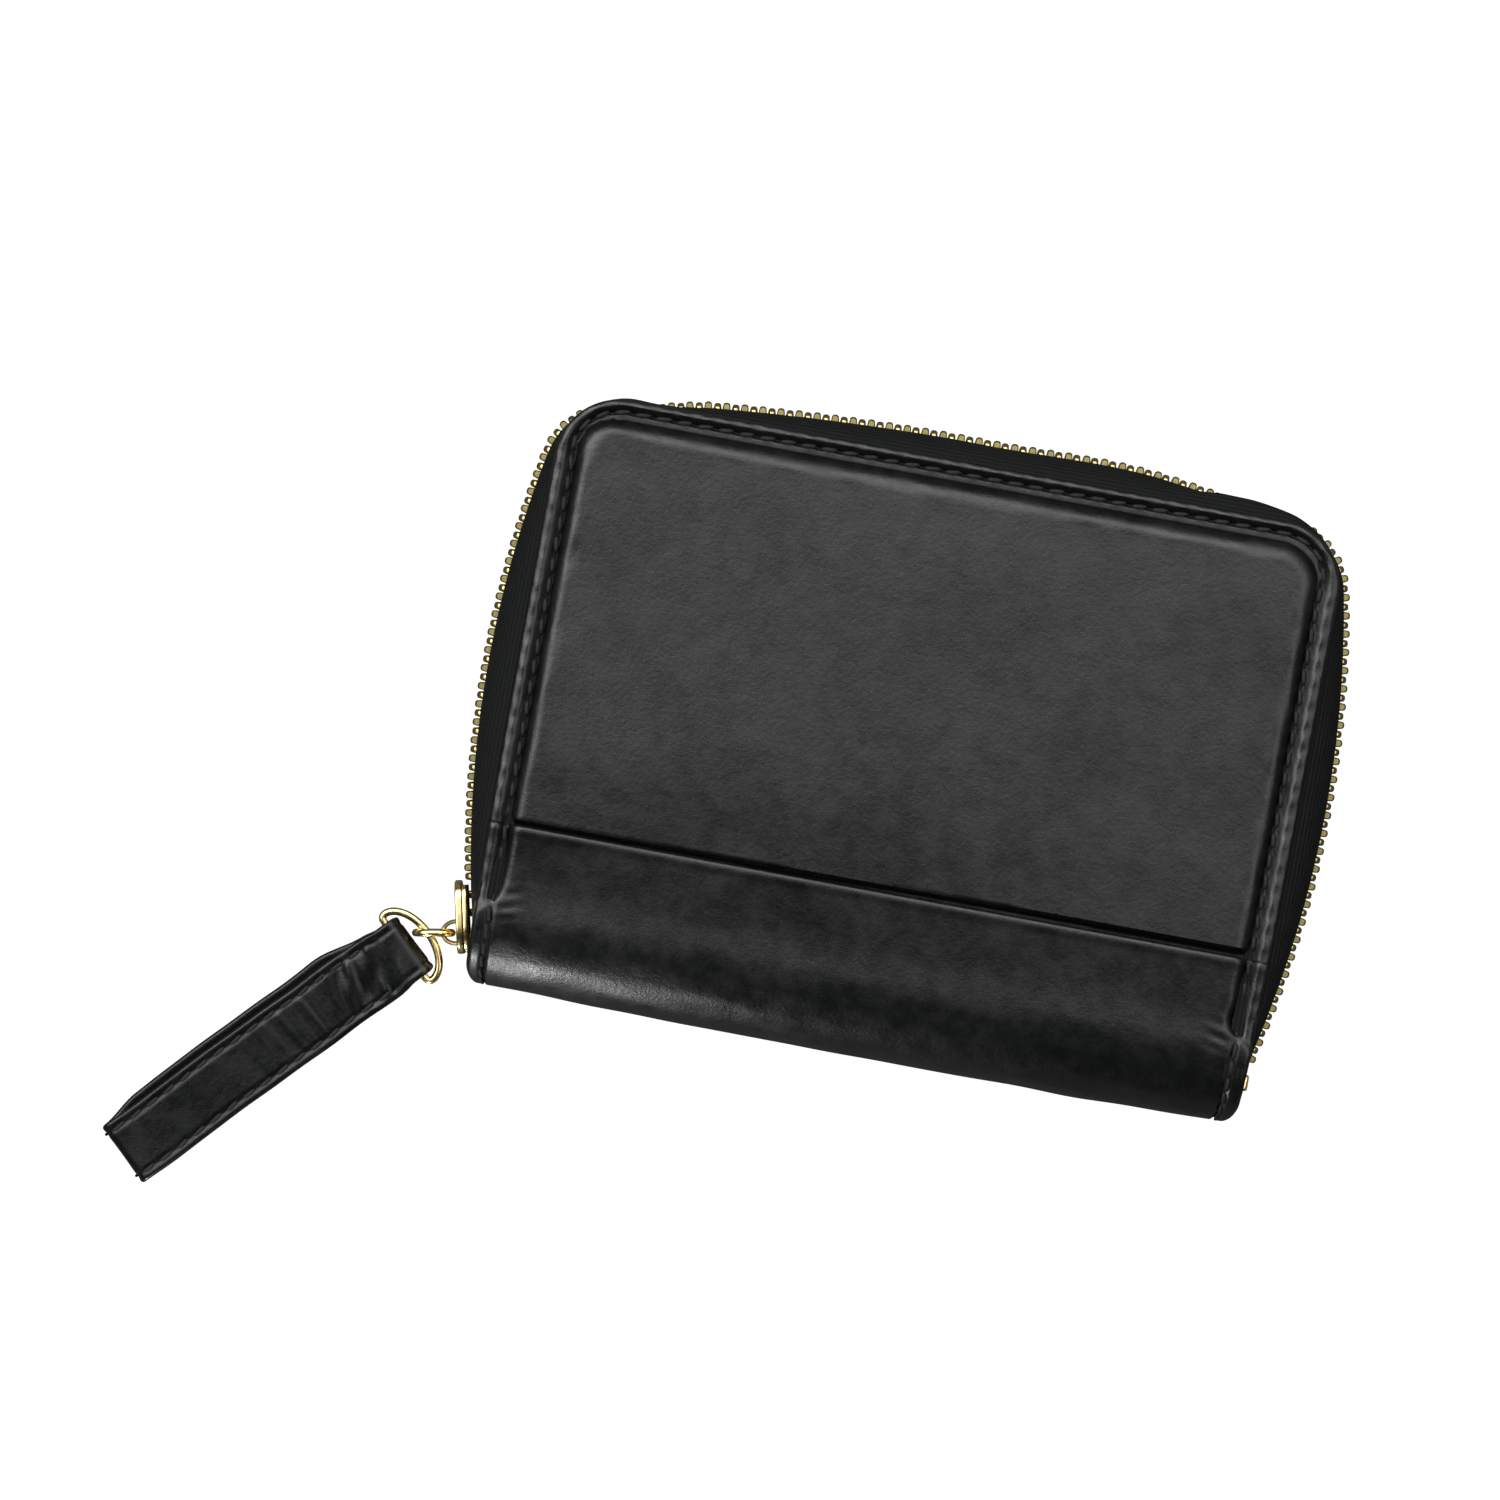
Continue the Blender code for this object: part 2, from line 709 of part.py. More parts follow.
def slider_blocks(length, width, flange, neck, bridge):
    """Boxes of a slider: two plates, four flanges, the neck, and the bridge."""
    half_l, half_w = length / 2, width / 2
    inner, outer = CAVITY / 2, CAVITY / 2 + PLATE_T
    blocks = [((-outer, -half_l, -half_w), (-inner, half_l, half_w))]
    neck_start, neck_end, neck_half = neck
    reach = inner + PLATE_T / 2
    blocks.append(((-reach, neck_start, -neck_half), (reach, neck_end, neck_half)))
    blocks.append(((inner, -half_l, -half_w), (outer, half_l, half_w)))
    for sign in (-1, 1):
        for edge in (-1, 1):
            x = sorted((sign * SLOT_GAP / 2, sign * (inner + BLOCK_OVERLAP)))
            z = sorted((edge * (half_w - flange), edge * half_w))
            blocks.append(((x[0], -half_l, z[0]), (x[1], half_l, z[1])))
    start, end, hole, thick, bridge_w = bridge
    top = outer + hole + thick
    half_b = bridge_w / 2
    blocks.append(((-top, start, -half_b), (-outer + BLOCK_OVERLAP, start + thick, half_b)))
    blocks.append(((-top, end - thick, -half_b), (-outer + BLOCK_OVERLAP, end, half_b)))
    blocks.append(((-top, start, -half_b), (-top + thick, end, half_b)))
    return blocks


def slider():
    neck = (NECK_START, NECK_END, NECK_W / 2)
    bridge = (BRIDGE_START, BRIDGE_END, BRIDGE_HOLE, BRIDGE_T, BRIDGE_W)
    blocks = slider_blocks(SLIDER_LENGTH, SLIDER_WIDTH, FLANGE_W, neck, bridge)
    body = joined("slider", blocks, brass("slider"), slider_frame())
    hang(body, pivot("slider_pivot", track_pivot()))


def heading(degrees, slope=0.0):
    """Unit vector at an angle from +X, sloping down by slope degrees."""
    angle, fall = math.radians(degrees), math.radians(slope)
    flat = math.cos(fall)
    return Vector((math.cos(angle) * flat, math.sin(angle) * flat, -math.sin(fall)))


def link_pin():
    """Where the link passes under the slider's bridge."""
    along = (BRIDGE_START + BRIDGE_END) / 2
    out = CAVITY / 2 + PLATE_T + WIRE_R + WIRE_GAP
    return slider_frame() @ Vector((-out, along, 0))


def knot():
    """Where the D-ring's round side passes through the link."""
    return link_pin() + heading(LINK_DEG) * LINK_TO_D_RING


def link_ring():
    """Oval link in an upright plane, from the bridge to the D-ring."""
    direction, up = heading(LINK_DEG), Vector((0, 0, 1))
    straight = LINK_LENGTH - 2 * LINK_HALF_W
    points = []
    for centre, start in ((LINK_LENGTH - LINK_HALF_W, -90), (LINK_HALF_W, 90)):
        for i in range(9):
            angle = math.radians(start + 180 * i / 8)
            along = centre + LINK_HALF_W * math.cos(angle)
            points.append(direction * along + up * LINK_HALF_W * math.sin(angle))
    if straight < 0:
        raise ValueError("the link is shorter than it is wide")
    link = wire("link_ring", points, WIRE_R, brass("link_ring"))
    link.location = link_pin()


def pull_axes():
    """Along the strap, and across it to its left, in the strap's sloping plane."""
    along = heading(PULL_DEG, PULL_SLOPE_DEG)
    across = heading(PULL_DEG - 90)
    return along, across


def d_ring_centre():
    return knot() + pull_axes()[0] * D_RING_R


def bar_centre():
    return d_ring_centre() - pull_axes()[0] * D_BAR_BACK


def d_ring():
    """Round side towards the slider, straight bar in the strap's fold."""
    along, across = pull_axes()
    reach = math.degrees(math.acos(D_BAR_BACK / D_RING_R))
    apex = knot()
    centre = d_ring_centre()
    points = []
    for i in range(17):
        angle = math.radians(-reach + 2 * reach * i / 16)
        spoke = -along * math.cos(angle) + across * math.sin(angle)
        points.append(centre + spoke * D_RING_R - apex)
    ring = wire("d_ring", points, WIRE_R, brass("d_ring"))
    ring.location = apex


def strap_profile():
    """Closed loop of the strap's middle line, as (along, height) from the bar."""
    eye = STRAP_EYE / 2 + STRAP_LEATHER / 2
    slit = STRAP_SLIT / 2 + STRAP_LEATHER / 2
    end = STRAP_LENGTH - eye - STRAP_LEATHER / 2 - slit
    upper = [(STRAP_EYE_LENGTH * 0.4, eye), (STRAP_EYE_LENGTH, slit)]
    upper += [(STRAP_EYE_LENGTH + (end - STRAP_EYE_LENGTH) * i / 4, slit) for i in range(1, 4)]
    far = []
    for i in range(7):
        angle = math.radians(90 - 180 * i / 6)
        far.append((end + slit * math.cos(angle), slit * math.sin(angle)))
    near = []
    for i in range(7):
        angle = math.radians(-90 - 180 * i / 6)
        near.append((eye * math.cos(angle), eye * math.sin(angle)))
    lower = [(a, -h) for a, h in reversed(upper)]
    return upper + far + lower + near


def strap():
    """A leather loop, two layers thick, folded round the D-ring's bar."""
    along, across = pull_axes()
    up = across.cross(along)
    origin = bar_centre()
    rows = []
    profile = strap_profile()
    for side in (-1, 1):
        row = []
        for distance, height in profile:
            narrow = 1.0 if distance > STRAP_SHOULDER else STRAP_FOLD_SHARE
            offset = across * side * STRAP_WIDTH / 2 * narrow
            row.append(along * distance + up * height + offset)
        rows.append(row)
    shape = bmesh.new()
    left = [shape.verts.new(point) for point in rows[0]]
    right = [shape.verts.new(point) for point in rows[1]]
    for i in range(len(left)):
        j = (i + 1) % len(left)
        shape.faces.new((left[i], left[j], right[j], right[i]))
    bmesh.ops.recalc_face_normals(shape, faces=shape.faces)
    mesh = bpy.data.meshes.new("strap")
    shape.to_mesh(mesh)
    shape.free()
    obj = place("strap", mesh, leather("strap"))
    thicken(obj, STRAP_LEATHER)
    obj.location = origin


# -------------------------------------------------------------------- coin pouch


def coin_pouch():
    """A flat bag, open at its zipped mouth."""
    low = (-POUCH_HALF_X, POUCH_Y[0], MID_Z - POUCH_HALF_Z)
    high = (POUCH_HALF_X, POUCH_Y[1], MID_Z + POUCH_HALF_Z)
    mesh = box_mesh("coin_pouch", low, high)
    shape = bmesh.new()
    shape.from_mesh(mesh)
    mouth = [face for face in shape.faces if face.normal.y > 0.9]
    bmesh.ops.delete(shape, geom=mouth, context="FACES_ONLY")
    shape.to_mesh(mesh)
    shape.free()
    bag = place("coin_pouch", mesh, lining_cloth("coin_pouch"))
    thicken(bag, POUCH_T, -1.0)


def coin_point(distance):
    return (distance, COIN_ZIP_Y)


def coin_tape(name, side):
    profile = [
        (COIN_ZIP_Y, COIN_TAPE_EDGE),
        (COIN_ZIP_Y, COIN_TAPE_BEND),
        (POUCH_Y[1] + COIN_TAPE_GAP, COIN_TAPE_BEND),
    ]
    half = COIN_ZIP_HALF + COIN_TAPE_END
    rows = [[(x, y, MID_Z + side * z) for y, z in profile] for x in (-half, half)]
    sheet(name, rows, woven(name), COIN_TAPE_T)


def coin_zip():
    chain = (coin_point, COIN_PITCH, COIN_TOOTH, COIN_LEVELS, COIN_CHAIN_T)
    start = COIN_SLIDER_X
    last = COIN_ZIP_HALF
    tooth_row("coin_zip_teeth_back", -1, start, last, *chain)
    tooth_row("coin_zip_teeth_front", 1, start + COIN_PITCH / 2, last, *chain)
    coin_tape("coin_zip_tape_back", -1)
    coin_tape("coin_zip_tape_front", 1)
    coin_slider()
    coin_puller()


def coin_frame():
    """Coin slider frame: its outer side faces away from the pouch, its mouth to -X."""
    turn = Matrix.Rotation(math.radians(-90), 4, "Z")
    return Matrix.Translation((COIN_SLIDER_X, COIN_ZIP_Y, MID_Z)) @ turn


def coin_slider():
    blocks = slider_blocks(
        COIN_SLIDER_LENGTH, COIN_SLIDER_WIDTH, COIN_FLANGE_W, COIN_NECK, COIN_BRIDGE
    )
    joined("coin_zip_slider", blocks, brass("coin_zip_slider"), coin_frame())


def coin_pin():
    """Axis of the coin puller, in the hole under its slider's bridge."""
    start, end, hole = COIN_BRIDGE[:3]
    out = CAVITY / 2 + PLATE_T + hole / 2
    return coin_frame() @ Vector((-out, (start + end) / 2, 0))


def coin_puller():
    """Flat pull tab whose slotted end hooks under the bridge."""
    half_w, half_t = PULLER_WIDTH / 2, PULLER_T / 2
    slot_start, slot_end, slot_half = PULLER_SLOT
    blocks = [((-half_t, -half_t, -half_w), (slot_start, half_t, half_w))]
    for side in (-1, 1):
        z = sorted((side * slot_half, side * half_w))
        blocks.append(((-half_t + PULLER_OVERLAP, -half_t, z[0]), (slot_end, half_t, z[1])))
    blocks.append(((slot_end - PULLER_OVERLAP, -half_t, -half_w), (PULLER_LENGTH, half_t, half_w)))
    lift = Matrix.Rotation(math.radians(PULLER_REST_DEG), 4, "Z")
    frame = Matrix.Translation(coin_pin()) @ lift
    joined("coin_zip_puller", blocks, brass("coin_zip_puller"), frame)


def move_to_origin():
    """Put the origin in the middle of the face that the wallet rests on."""
    for obj in [*WALLET.objects, *TOOLS.objects]:
        if obj.parent is None:
            obj.location.y -= REST_FACE_Y


clear_scene()
WALLET = new_collection("zip_around_wallet")
TOOLS = new_collection("cutters")
ZIP_ARCS = zip_arcs()

cover("back", -1)
cover("front", 1)
spine_cover()
front_band()
spine_lining()
side_gusset("side_gusset_left", -1)
side_gusset("side_gusset_right", 1)
outer_zip()
slider()
link_ring()
d_ring()
strap()
coin_pouch()
coin_zip()
hang_front()
move_to_origin()
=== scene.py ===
"""Looks of the zip around wallet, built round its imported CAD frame.

Lengths in this script are millimetres: x along the spine, y from the spine's outer line
to the zipped top edge, z from the resting back face to the front face. to_frame() turns
them into the frame's metres. "Height" is the distance from the wallet's middle plane.
"""

import json
import math

import bmesh
import bpy
import numpy as np
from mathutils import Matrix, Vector


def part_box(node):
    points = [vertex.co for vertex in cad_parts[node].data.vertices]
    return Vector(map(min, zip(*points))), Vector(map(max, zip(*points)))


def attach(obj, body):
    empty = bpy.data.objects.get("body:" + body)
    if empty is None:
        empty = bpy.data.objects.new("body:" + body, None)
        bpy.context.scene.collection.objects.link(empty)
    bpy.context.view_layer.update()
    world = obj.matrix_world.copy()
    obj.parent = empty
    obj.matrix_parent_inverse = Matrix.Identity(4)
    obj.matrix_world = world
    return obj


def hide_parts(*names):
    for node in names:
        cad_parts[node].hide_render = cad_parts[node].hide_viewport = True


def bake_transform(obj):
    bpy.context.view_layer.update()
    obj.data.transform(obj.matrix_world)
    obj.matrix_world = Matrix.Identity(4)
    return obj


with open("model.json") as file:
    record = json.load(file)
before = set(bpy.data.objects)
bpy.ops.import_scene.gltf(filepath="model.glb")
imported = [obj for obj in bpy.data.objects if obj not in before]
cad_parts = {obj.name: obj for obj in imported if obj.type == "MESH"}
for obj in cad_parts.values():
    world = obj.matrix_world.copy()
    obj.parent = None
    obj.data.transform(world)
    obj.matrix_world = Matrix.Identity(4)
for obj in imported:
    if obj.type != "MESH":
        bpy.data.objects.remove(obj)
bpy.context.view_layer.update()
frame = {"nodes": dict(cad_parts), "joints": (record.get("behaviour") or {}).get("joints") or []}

JOINTS = {joint["name"]: joint for joint in frame["joints"]}
Y0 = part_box("spine_cover")[0].y * 1000
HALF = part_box("back_panel")[1].x * 1000
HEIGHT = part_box("back_panel")[1].y * 1000 - Y0
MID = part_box("back_panel")[0].z * 1000 + 11.0
SPINE_R = 11.0
CORNER_R = 9.0
BAND_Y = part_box("front_band")[1].y * 1000 - Y0 - 0.35
STITCH_PITCH = 2.9
STITCH_INSET = 2.45
LOW_EDGE = BAND_Y - 5.5  # where the cover leather ends, under the band
RIPPLE_SEED = {1: 11, -1: 41}  # front and back
COVERS = (("back", -1), ("front", 1))  # and the way each one faces

# The closed zip's track
TRACK_SIDE_X = 59.35
TRACK_SIDE_Y = 45.0
TRACK_SIDE_R = 155.0
TRACK_TOP_Y = 86.3
TRACK_TOP_R = 430.0
TRACK_CORNER_R = 10.0
TRACK_START_Y = 4.0
TOOTH_PITCH = 2.55
SLIDER_Y = 9.0
SLIDER_REACH = 150.0  # radius of the slider's swing, as in the CAD


# ---------- small maths


def smooth(t):
    t = np.clip(t, 0.0, 1.0)
    return t * t * (3 - 2 * t)


def hump(t):
    """1 at t = 0, falling smoothly to 0 at t = -1 and 1."""
    return smooth(1 - np.abs(t))


def ripples(a, b, size, seed):
    """Smooth random undulation of about unit height with features about size wide."""
    rng = np.random.default_rng(seed)
    waves = 14
    total = 0.0
    for _ in range(waves):
        turn, phase = rng.uniform(0, 2 * math.pi, 2)
        length = size * rng.uniform(0.7, 1.6)
        ahead = a * math.cos(turn) + b * math.sin(turn)
        total = total + np.sin(ahead * 2 * math.pi / length + phase)
    return total / math.sqrt(waves)


def inside(x, y, left, right, low, top, radius_left, radius_right):
    """Distance inwards from a rectangle's edge, with its own corner radius on each side."""
    half_x, half_y = (right - left) / 2, (top - low) / 2
    dx, dy = x - (left + right) / 2, y - (low + top) / 2
    radius = np.where(dx < 0, radius_left, radius_right)
    qx, qy = np.abs(dx) - half_x + radius, np.abs(dy) - half_y + radius
    beyond = np.hypot(np.maximum(qx, 0), np.maximum(qy, 0))
    return radius - beyond - np.minimum(np.maximum(qx, qy), 0)


def lengths(points):
    steps = np.linalg.norm(np.diff(points, axis=0), axis=1)
    return np.concatenate(([0.0], np.cumsum(steps)))


def sampled(path, along, at):
    """Points of a path at some distances, given each of its own points' distance along it."""
    return np.column_stack([np.interp(at, along, path[:, i]) for i in range(path.shape[1])])


def unit(v):
    v = np.asarray(v, float)
    return v / np.linalg.norm(v, axis=-1, keepdims=True)


def bezier(t, *corners):
    weights = (1 - t) ** 3, 3 * t * (1 - t) ** 2, 3 * t**2 * (1 - t), t**3
    return sum(weight * corner for weight, corner in zip(weights, corners))


def to_frame(points):
    moved = np.array(points, float).reshape(-1, 3)
    moved[:, 1] += Y0
    return moved * 0.001


def from_frame(point):
    return np.array([point[0] * 1000, point[1] * 1000 - Y0, point[2] * 1000])


# ---------- mesh helpers


def add(name, data):
    """A new object in the scene."""
    obj = bpy.data.objects.new(name, data)
    bpy.context.scene.collection.objects.link(obj)
    return obj


def piece(name, points, faces, material, strip=None, closed=True):
    """A mesh from points in mm. strip holds each point's place on a woven strip, in mm."""
    mesh = bpy.data.meshes.new(name)
    verts = to_frame(points)
    mesh.from_pydata(verts.tolist(), [], faces)
    rest = mesh.attributes.new("rest", "FLOAT_VECTOR", "POINT")
    rest.data.foreach_set("vector", (verts * 1000).astype(np.float32).ravel())
    if strip is not None:
        lay = mesh.attributes.new("strip", "FLOAT_VECTOR", "POINT")
        lay.data.foreach_set("vector", np.asarray(strip, np.float32).ravel())
    obj = add(name, mesh)
    mesh.materials.append(material)
    if closed:
        tidy(obj)
    return obj


def tidy(obj, weld=0.0, fill=False):
    """Weld doubles, fill holes, turn the faces outwards, and smooth all but sharp edges."""
    shape = bmesh.new()
    shape.from_mesh(obj.data)
    if weld:
        bmesh.ops.remove_doubles(shape, verts=shape.verts, dist=weld)
        bmesh.ops.dissolve_degenerate(shape, edges=shape.edges, dist=weld / 10)
    if fill:
        bmesh.ops.holes_fill(shape, edges=shape.edges, sides=0)
    bmesh.ops.recalc_face_normals(shape, faces=shape.faces)
    shape.to_mesh(obj.data)
    shape.free()
    obj.data.shade_smooth()
    obj.data.set_sharp_from_angle(angle=math.radians(38))


def bake(obj):
    """Turn the object's modifiers into plain mesh."""
    bpy.context.view_layer.update()
    depsgraph = bpy.context.evaluated_depsgraph_get()
    baked = bpy.data.meshes.new_from_object(obj.evaluated_get(depsgraph))
    obj.modifiers.clear()
    obj.data = baked
    baked.name = obj.name


def grid_faces(rows, columns, wrap_rows=False, wrap_columns=False):
    faces = []
    for i in range(rows if wrap_rows else rows - 1):
        a, b = i * columns, ((i + 1) % rows) * columns
        for j in range(columns if wrap_columns else columns - 1):
            k = (j + 1) % columns
            faces.append((a + j, b + j, b + k, a + k))
    return faces


def dress(obj, slot, body, *replaced):
    """Attach a piece to the body it rides on, and hide the CAD nodes it stands for. The slot is not
    used.
    """
    if body:
        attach(obj, body)
    if replaced:
        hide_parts(*replaced)


def turn_between(obj, start, end):
    """Bake the piece's placing into its mesh. The start and end points are not used."""
    start, end = to_frame([start, end])
    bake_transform(obj)


def skin(name, grid, thickness, material, strip=None, weld=0.0, offset=-1.0):
    """A sheet through a grid of points (rows, columns, 3), thickened to a closed body."""
    rows, columns = grid.shape[:2]
    obj = piece(name, grid, grid_faces(rows, columns), material, strip, closed=False)
    if weld:
        tidy(obj, weld)
    solid = obj.modifiers.new("thickness", "SOLIDIFY")
    solid.thickness = thickness * 0.001
    solid.offset = offset
    solid.use_even_offset = False
    bake(obj)
    tidy(obj)
    return obj


def capped(rings):
    """Points and faces of a closed body through rings (count, around, 3)."""
    count, around = rings.shape[:2]
    points = np.concatenate((rings.reshape(-1, 3), rings[0].mean(0)[None], rings[-1].mean(0)[None]))
    faces = grid_faces(count, around, wrap_columns=True)
    first, last = count * around, count * around + 1
    for j in range(around):
        k = (j + 1) % around
        faces.append((first, j, k))
        faces.append((last, (count - 1) * around + k, (count - 1) * around + j))
    return points, faces


def merged(parts):
    """One (points, faces) from several."""
    points, faces, base = [], [], 0
    for part_points, part_faces in parts:
        points.append(part_points)
        faces += [tuple(base + i for i in face) for face in part_faces]
        base += len(part_points)
    return np.concatenate(points), faces


def moved(part, matrix):
    """(points, faces) taken through a 3x4 matrix of axes and place."""
    points, faces = part
    return points @ matrix[:, :3].T + matrix[:, 3], faces


def axes(x, y, z, place):
    return np.column_stack((x, y, z, place))


def frames(path, closed, up):
    """Side and normal along a path, with the normal nearest to up."""
    if closed:
        tangent = unit(np.roll(path, -1, 0) - np.roll(path, 1, 0))
    else:
        tangent = unit(np.gradient(path, axis=0))
    side = unit(np.cross(tangent, up))
    return side, np.cross(side, tangent)


def tube(path, radius, up, closed, around):
    """Rings of points round a path."""
    side, normal = frames(path, closed, up)
    turn = np.linspace(0, 2 * math.pi, around, endpoint=False)[None, :, None]
    return path[:, None] + radius * (np.cos(turn) * side[:, None] + np.sin(turn) * normal[:, None])


def wire(path, up):
    """Round wire along a closed path."""
    rings = tube(path, 0.55, up, True, 14)
    return rings.reshape(-1, 3), grid_faces(*rings.shape[:2], True, True)


def evened(path, step, closed=False):
    """Points at even steps along a path."""
    if closed:
        path = np.concatenate((path, path[:1]))
    along = lengths(path)
    count = max(4, int(round(along[-1] / step)))
    at = np.linspace(0, along[-1], count + (0 if closed else 1), endpoint=not closed)
    return sampled(path, along, at)


def rounded(path, passes):
    """Cut the corners of a closed path a few times."""
    for _ in range(passes):
        after = np.roll(path, -1, 0)
        path = np.stack((0.75 * path + 0.25 * after, 0.25 * path + 0.75 * after), 1)
        path = path.reshape(-1, path.shape[-1])
    return path


def taken(shape):
    """(points, faces) of a bmesh, which is freed."""
    shape.verts.index_update()
    points = np.array([vert.co for vert in shape.verts])
    faces = [tuple(v.index for v in f.verts) for f in shape.faces]
    shape.free()
    return points, faces


def oblong(low_x, low_y, high_x, high_y):
    """Outline of a rectangle with cut corners."""
    corners = [(low_x, low_y), (high_x, low_y), (high_x, high_y), (low_x, high_y)]
    return rounded(np.array(corners), 2)


def block(low, high, bevel):
    """(points, faces) of a box with rounded edges."""
    shape = bmesh.new()
    bmesh.ops.create_cube(shape, size=1.0)
    low, high = np.array(low, float), np.array(high, float)
    for vert in shape.verts:
        vert.co = Vector((low + high) / 2 + np.array(vert.co) * (high - low))
    bmesh.ops.bevel(shape, geom=shape.edges, offset=bevel, segments=3, profile=0.5, affect="EDGES")
    return taken(shape)


def slab(outline, holes, half, bevel):
    """(points, faces) of a flat plate with rounded edges, from 2D outlines."""
    curve = bpy.data.curves.new("slab", "CURVE")
    curve.dimensions = "2D"
    curve.fill_mode = "BOTH"
    curve.extrude = half - bevel
    curve.bevel_depth = bevel
    curve.bevel_resolution = 2
    curve.offset = -bevel
    for loop in [outline, *holes]:
        line = curve.splines.new("POLY")
        line.points.add(len(loop) - 1)
        for target, (a, b) in zip(line.points, loop):
            target.co = (a, b, 0, 1)
        line.use_cyclic_u = True
    obj = add("slab", curve)
    bpy.context.view_layer.update()
    mesh = obj.evaluated_get(bpy.context.evaluated_depsgraph_get()).to_mesh()
    shape = bmesh.new()
    shape.from_mesh(mesh)
    bmesh.ops.remove_doubles(shape, verts=shape.verts, dist=1e-4)
    part = taken(shape)
    bpy.data.objects.remove(obj)
    return part


# ---------- materials


def feed(tree, made, **inputs):
    """Set a node's inputs, each from a value or from an output socket."""
    for key, value in inputs.items():
        socket = made.inputs[int(key[1:])] if key[0] == "_" else made.inputs[key.replace("_", " ")]
        if isinstance(value, bpy.types.NodeSocket):
            tree.links.new(value, socket)
        else:
            socket.default_value = value


def node(tree, kind, settings=None, **inputs):
    """Add a shader node."""
    made = tree.nodes.new(kind)
    for key, value in (settings or {}).items():
        setattr(made, key, value)
    feed(tree, made, **inputs)
    return made


def calc(tree, operation, a, b=0.0, c=0.0):
    return node(tree, "ShaderNodeMath", {"operation": operation}, _0=a, _1=b, _2=c).outputs[0]


def wave(tree, value, pitch):
    """Sine wave that repeats every pitch millimetres."""
    return calc(tree, "SINE", calc(tree, "MULTIPLY", value, 2 * math.pi / pitch))


def noise(tree, coords, scale, detail=2.0, roughness=0.5, distortion=0.0):
    made = node(
        tree, "ShaderNodeTexNoise", None,
        Vector=coords, Scale=scale, Detail=detail, Roughness=roughness, Distortion=distortion,
    )
    return made.outputs["Fac"]


def cells(tree, coords, scale, feature="F1"):
    made = node(tree, "ShaderNodeTexVoronoi", {"feature": feature}, Vector=coords, Scale=scale)
    return made.outputs["Distance"]


def between(tree, value, low, high, out_low, out_high):
    made = node(
        tree, "ShaderNodeMapRange", {"interpolation_type": "SMOOTHSTEP"},
        _0=value, _1=low, _2=high, _3=out_low, _4=out_high,
    )
    return made.outputs[0]


def tint(tree, share, first, second):
    made = node(tree, "ShaderNodeMix", {"data_type": "RGBA"}, Factor=share)
    colours = [socket for socket in made.inputs if socket.type == "RGBA"]
    colours[0].default_value = (*first, 1.0)
    colours[1].default_value = (*second, 1.0)
    return [socket for socket in made.outputs if socket.type == "RGBA"][0]


def stretched(tree, coords, scale):
    made = node(tree, "ShaderNodeVectorMath", {"operation": "MULTIPLY"}, _0=coords, _1=scale)
    return made.outputs[0]


def blank_material(name):
    """(material, tree, shader)."""
    material = bpy.data.materials.new(name)
    material.use_nodes = True
    return material, material.node_tree, material.node_tree.nodes["Principled BSDF"]


def start_material(name, attribute="rest"):
    """(material, tree, shader, coordinates in mm)."""
    material, tree, shader = blank_material(name)
    coords = node(tree, "ShaderNodeAttribute", {"attribute_name": attribute}).outputs["Vector"]
    return material, tree, shader, coords


def raise_bumps(tree, shader, *layers):
    """Bump from layers of (pattern, height in mm)."""
    height = calc(tree, "MULTIPLY", *layers[0])
    for pattern, weight in layers[1:]:
        height = calc(tree, "MULTIPLY_ADD", pattern, weight, height)
    height = calc(tree, "MULTIPLY", height, 0.001)
    bump = node(tree, "ShaderNodeBump", None, Strength=1.0, Distance=1.0, Height=height)
    feed(tree, shader, Normal=bump.outputs["Normal"])


BLACK = (0.0014, 0.0017, 0.0017)


def leather(name, roughness=0.33, grain=0.013, crease=0.004, dark=BLACK, level=0.46):
    """Black leather: fine pebbled grain, faint creases, mottled sheen, high edges painted lighter
    (partly wear, partly painted highlight), and painted shade in hollows.
    """
    material, tree, shader, coords = start_material(name)
    pebbles = cells(tree, coords, 1.7, "SMOOTH_F1")
    fine = noise(tree, coords, 4.6, 3.0, 0.65)
    lines = cells(tree, stretched(tree, coords, (0.5, 0.9, 0.7)), 1.0, "DISTANCE_TO_EDGE")
    lines = between(tree, lines, 0.0, 0.09, 0.0, 1.0)
    broad = noise(tree, coords, 0.11, 3.0, 0.55, 0.6)
    grains = (pebbles, -grain * 2.0), (fine, grain * 2.3)
    raise_bumps(tree, shader, *grains, (lines, crease), (broad, 0.05))
    pointed = node(tree, "ShaderNodeNewGeometry").outputs["Pointiness"]
    # High convex edges get a lighter colour, partly wear and partly a painted highlight, and are a
    # little glossier
    wear_and_highlight = between(tree, pointed, 0.515, 0.60, 0.0, 1.0)
    mottle = between(tree, noise(tree, coords, 0.35, 4.0, 0.6), 0.3, 0.7, -0.05, 0.06)
    rough = calc(tree, "ADD", mottle, roughness)
    rough = calc(tree, "MULTIPLY_ADD", broad, 0.10, rough)
    rough = calc(tree, "MULTIPLY_ADD", wear_and_highlight, -0.06, rough)
    colour = tint(tree, wear_and_highlight, dark, tuple(2.6 * value for value in dark))
    # Painted shade: hollows such as the stitched channels keep only a fifth of the shine
    hollow_shaded_shine = between(tree, pointed, 0.455, 0.495, 0.2 * level, level)
    hollow_shaded_shine = calc(tree, "MULTIPLY", hollow_shaded_shine, between(tree, broad, 0.3, 0.7, 0.93, 1.06))
    feed(tree, shader, Roughness=rough, Base_Color=colour, Specular_IOR_Level=hollow_shaded_shine)
    return material


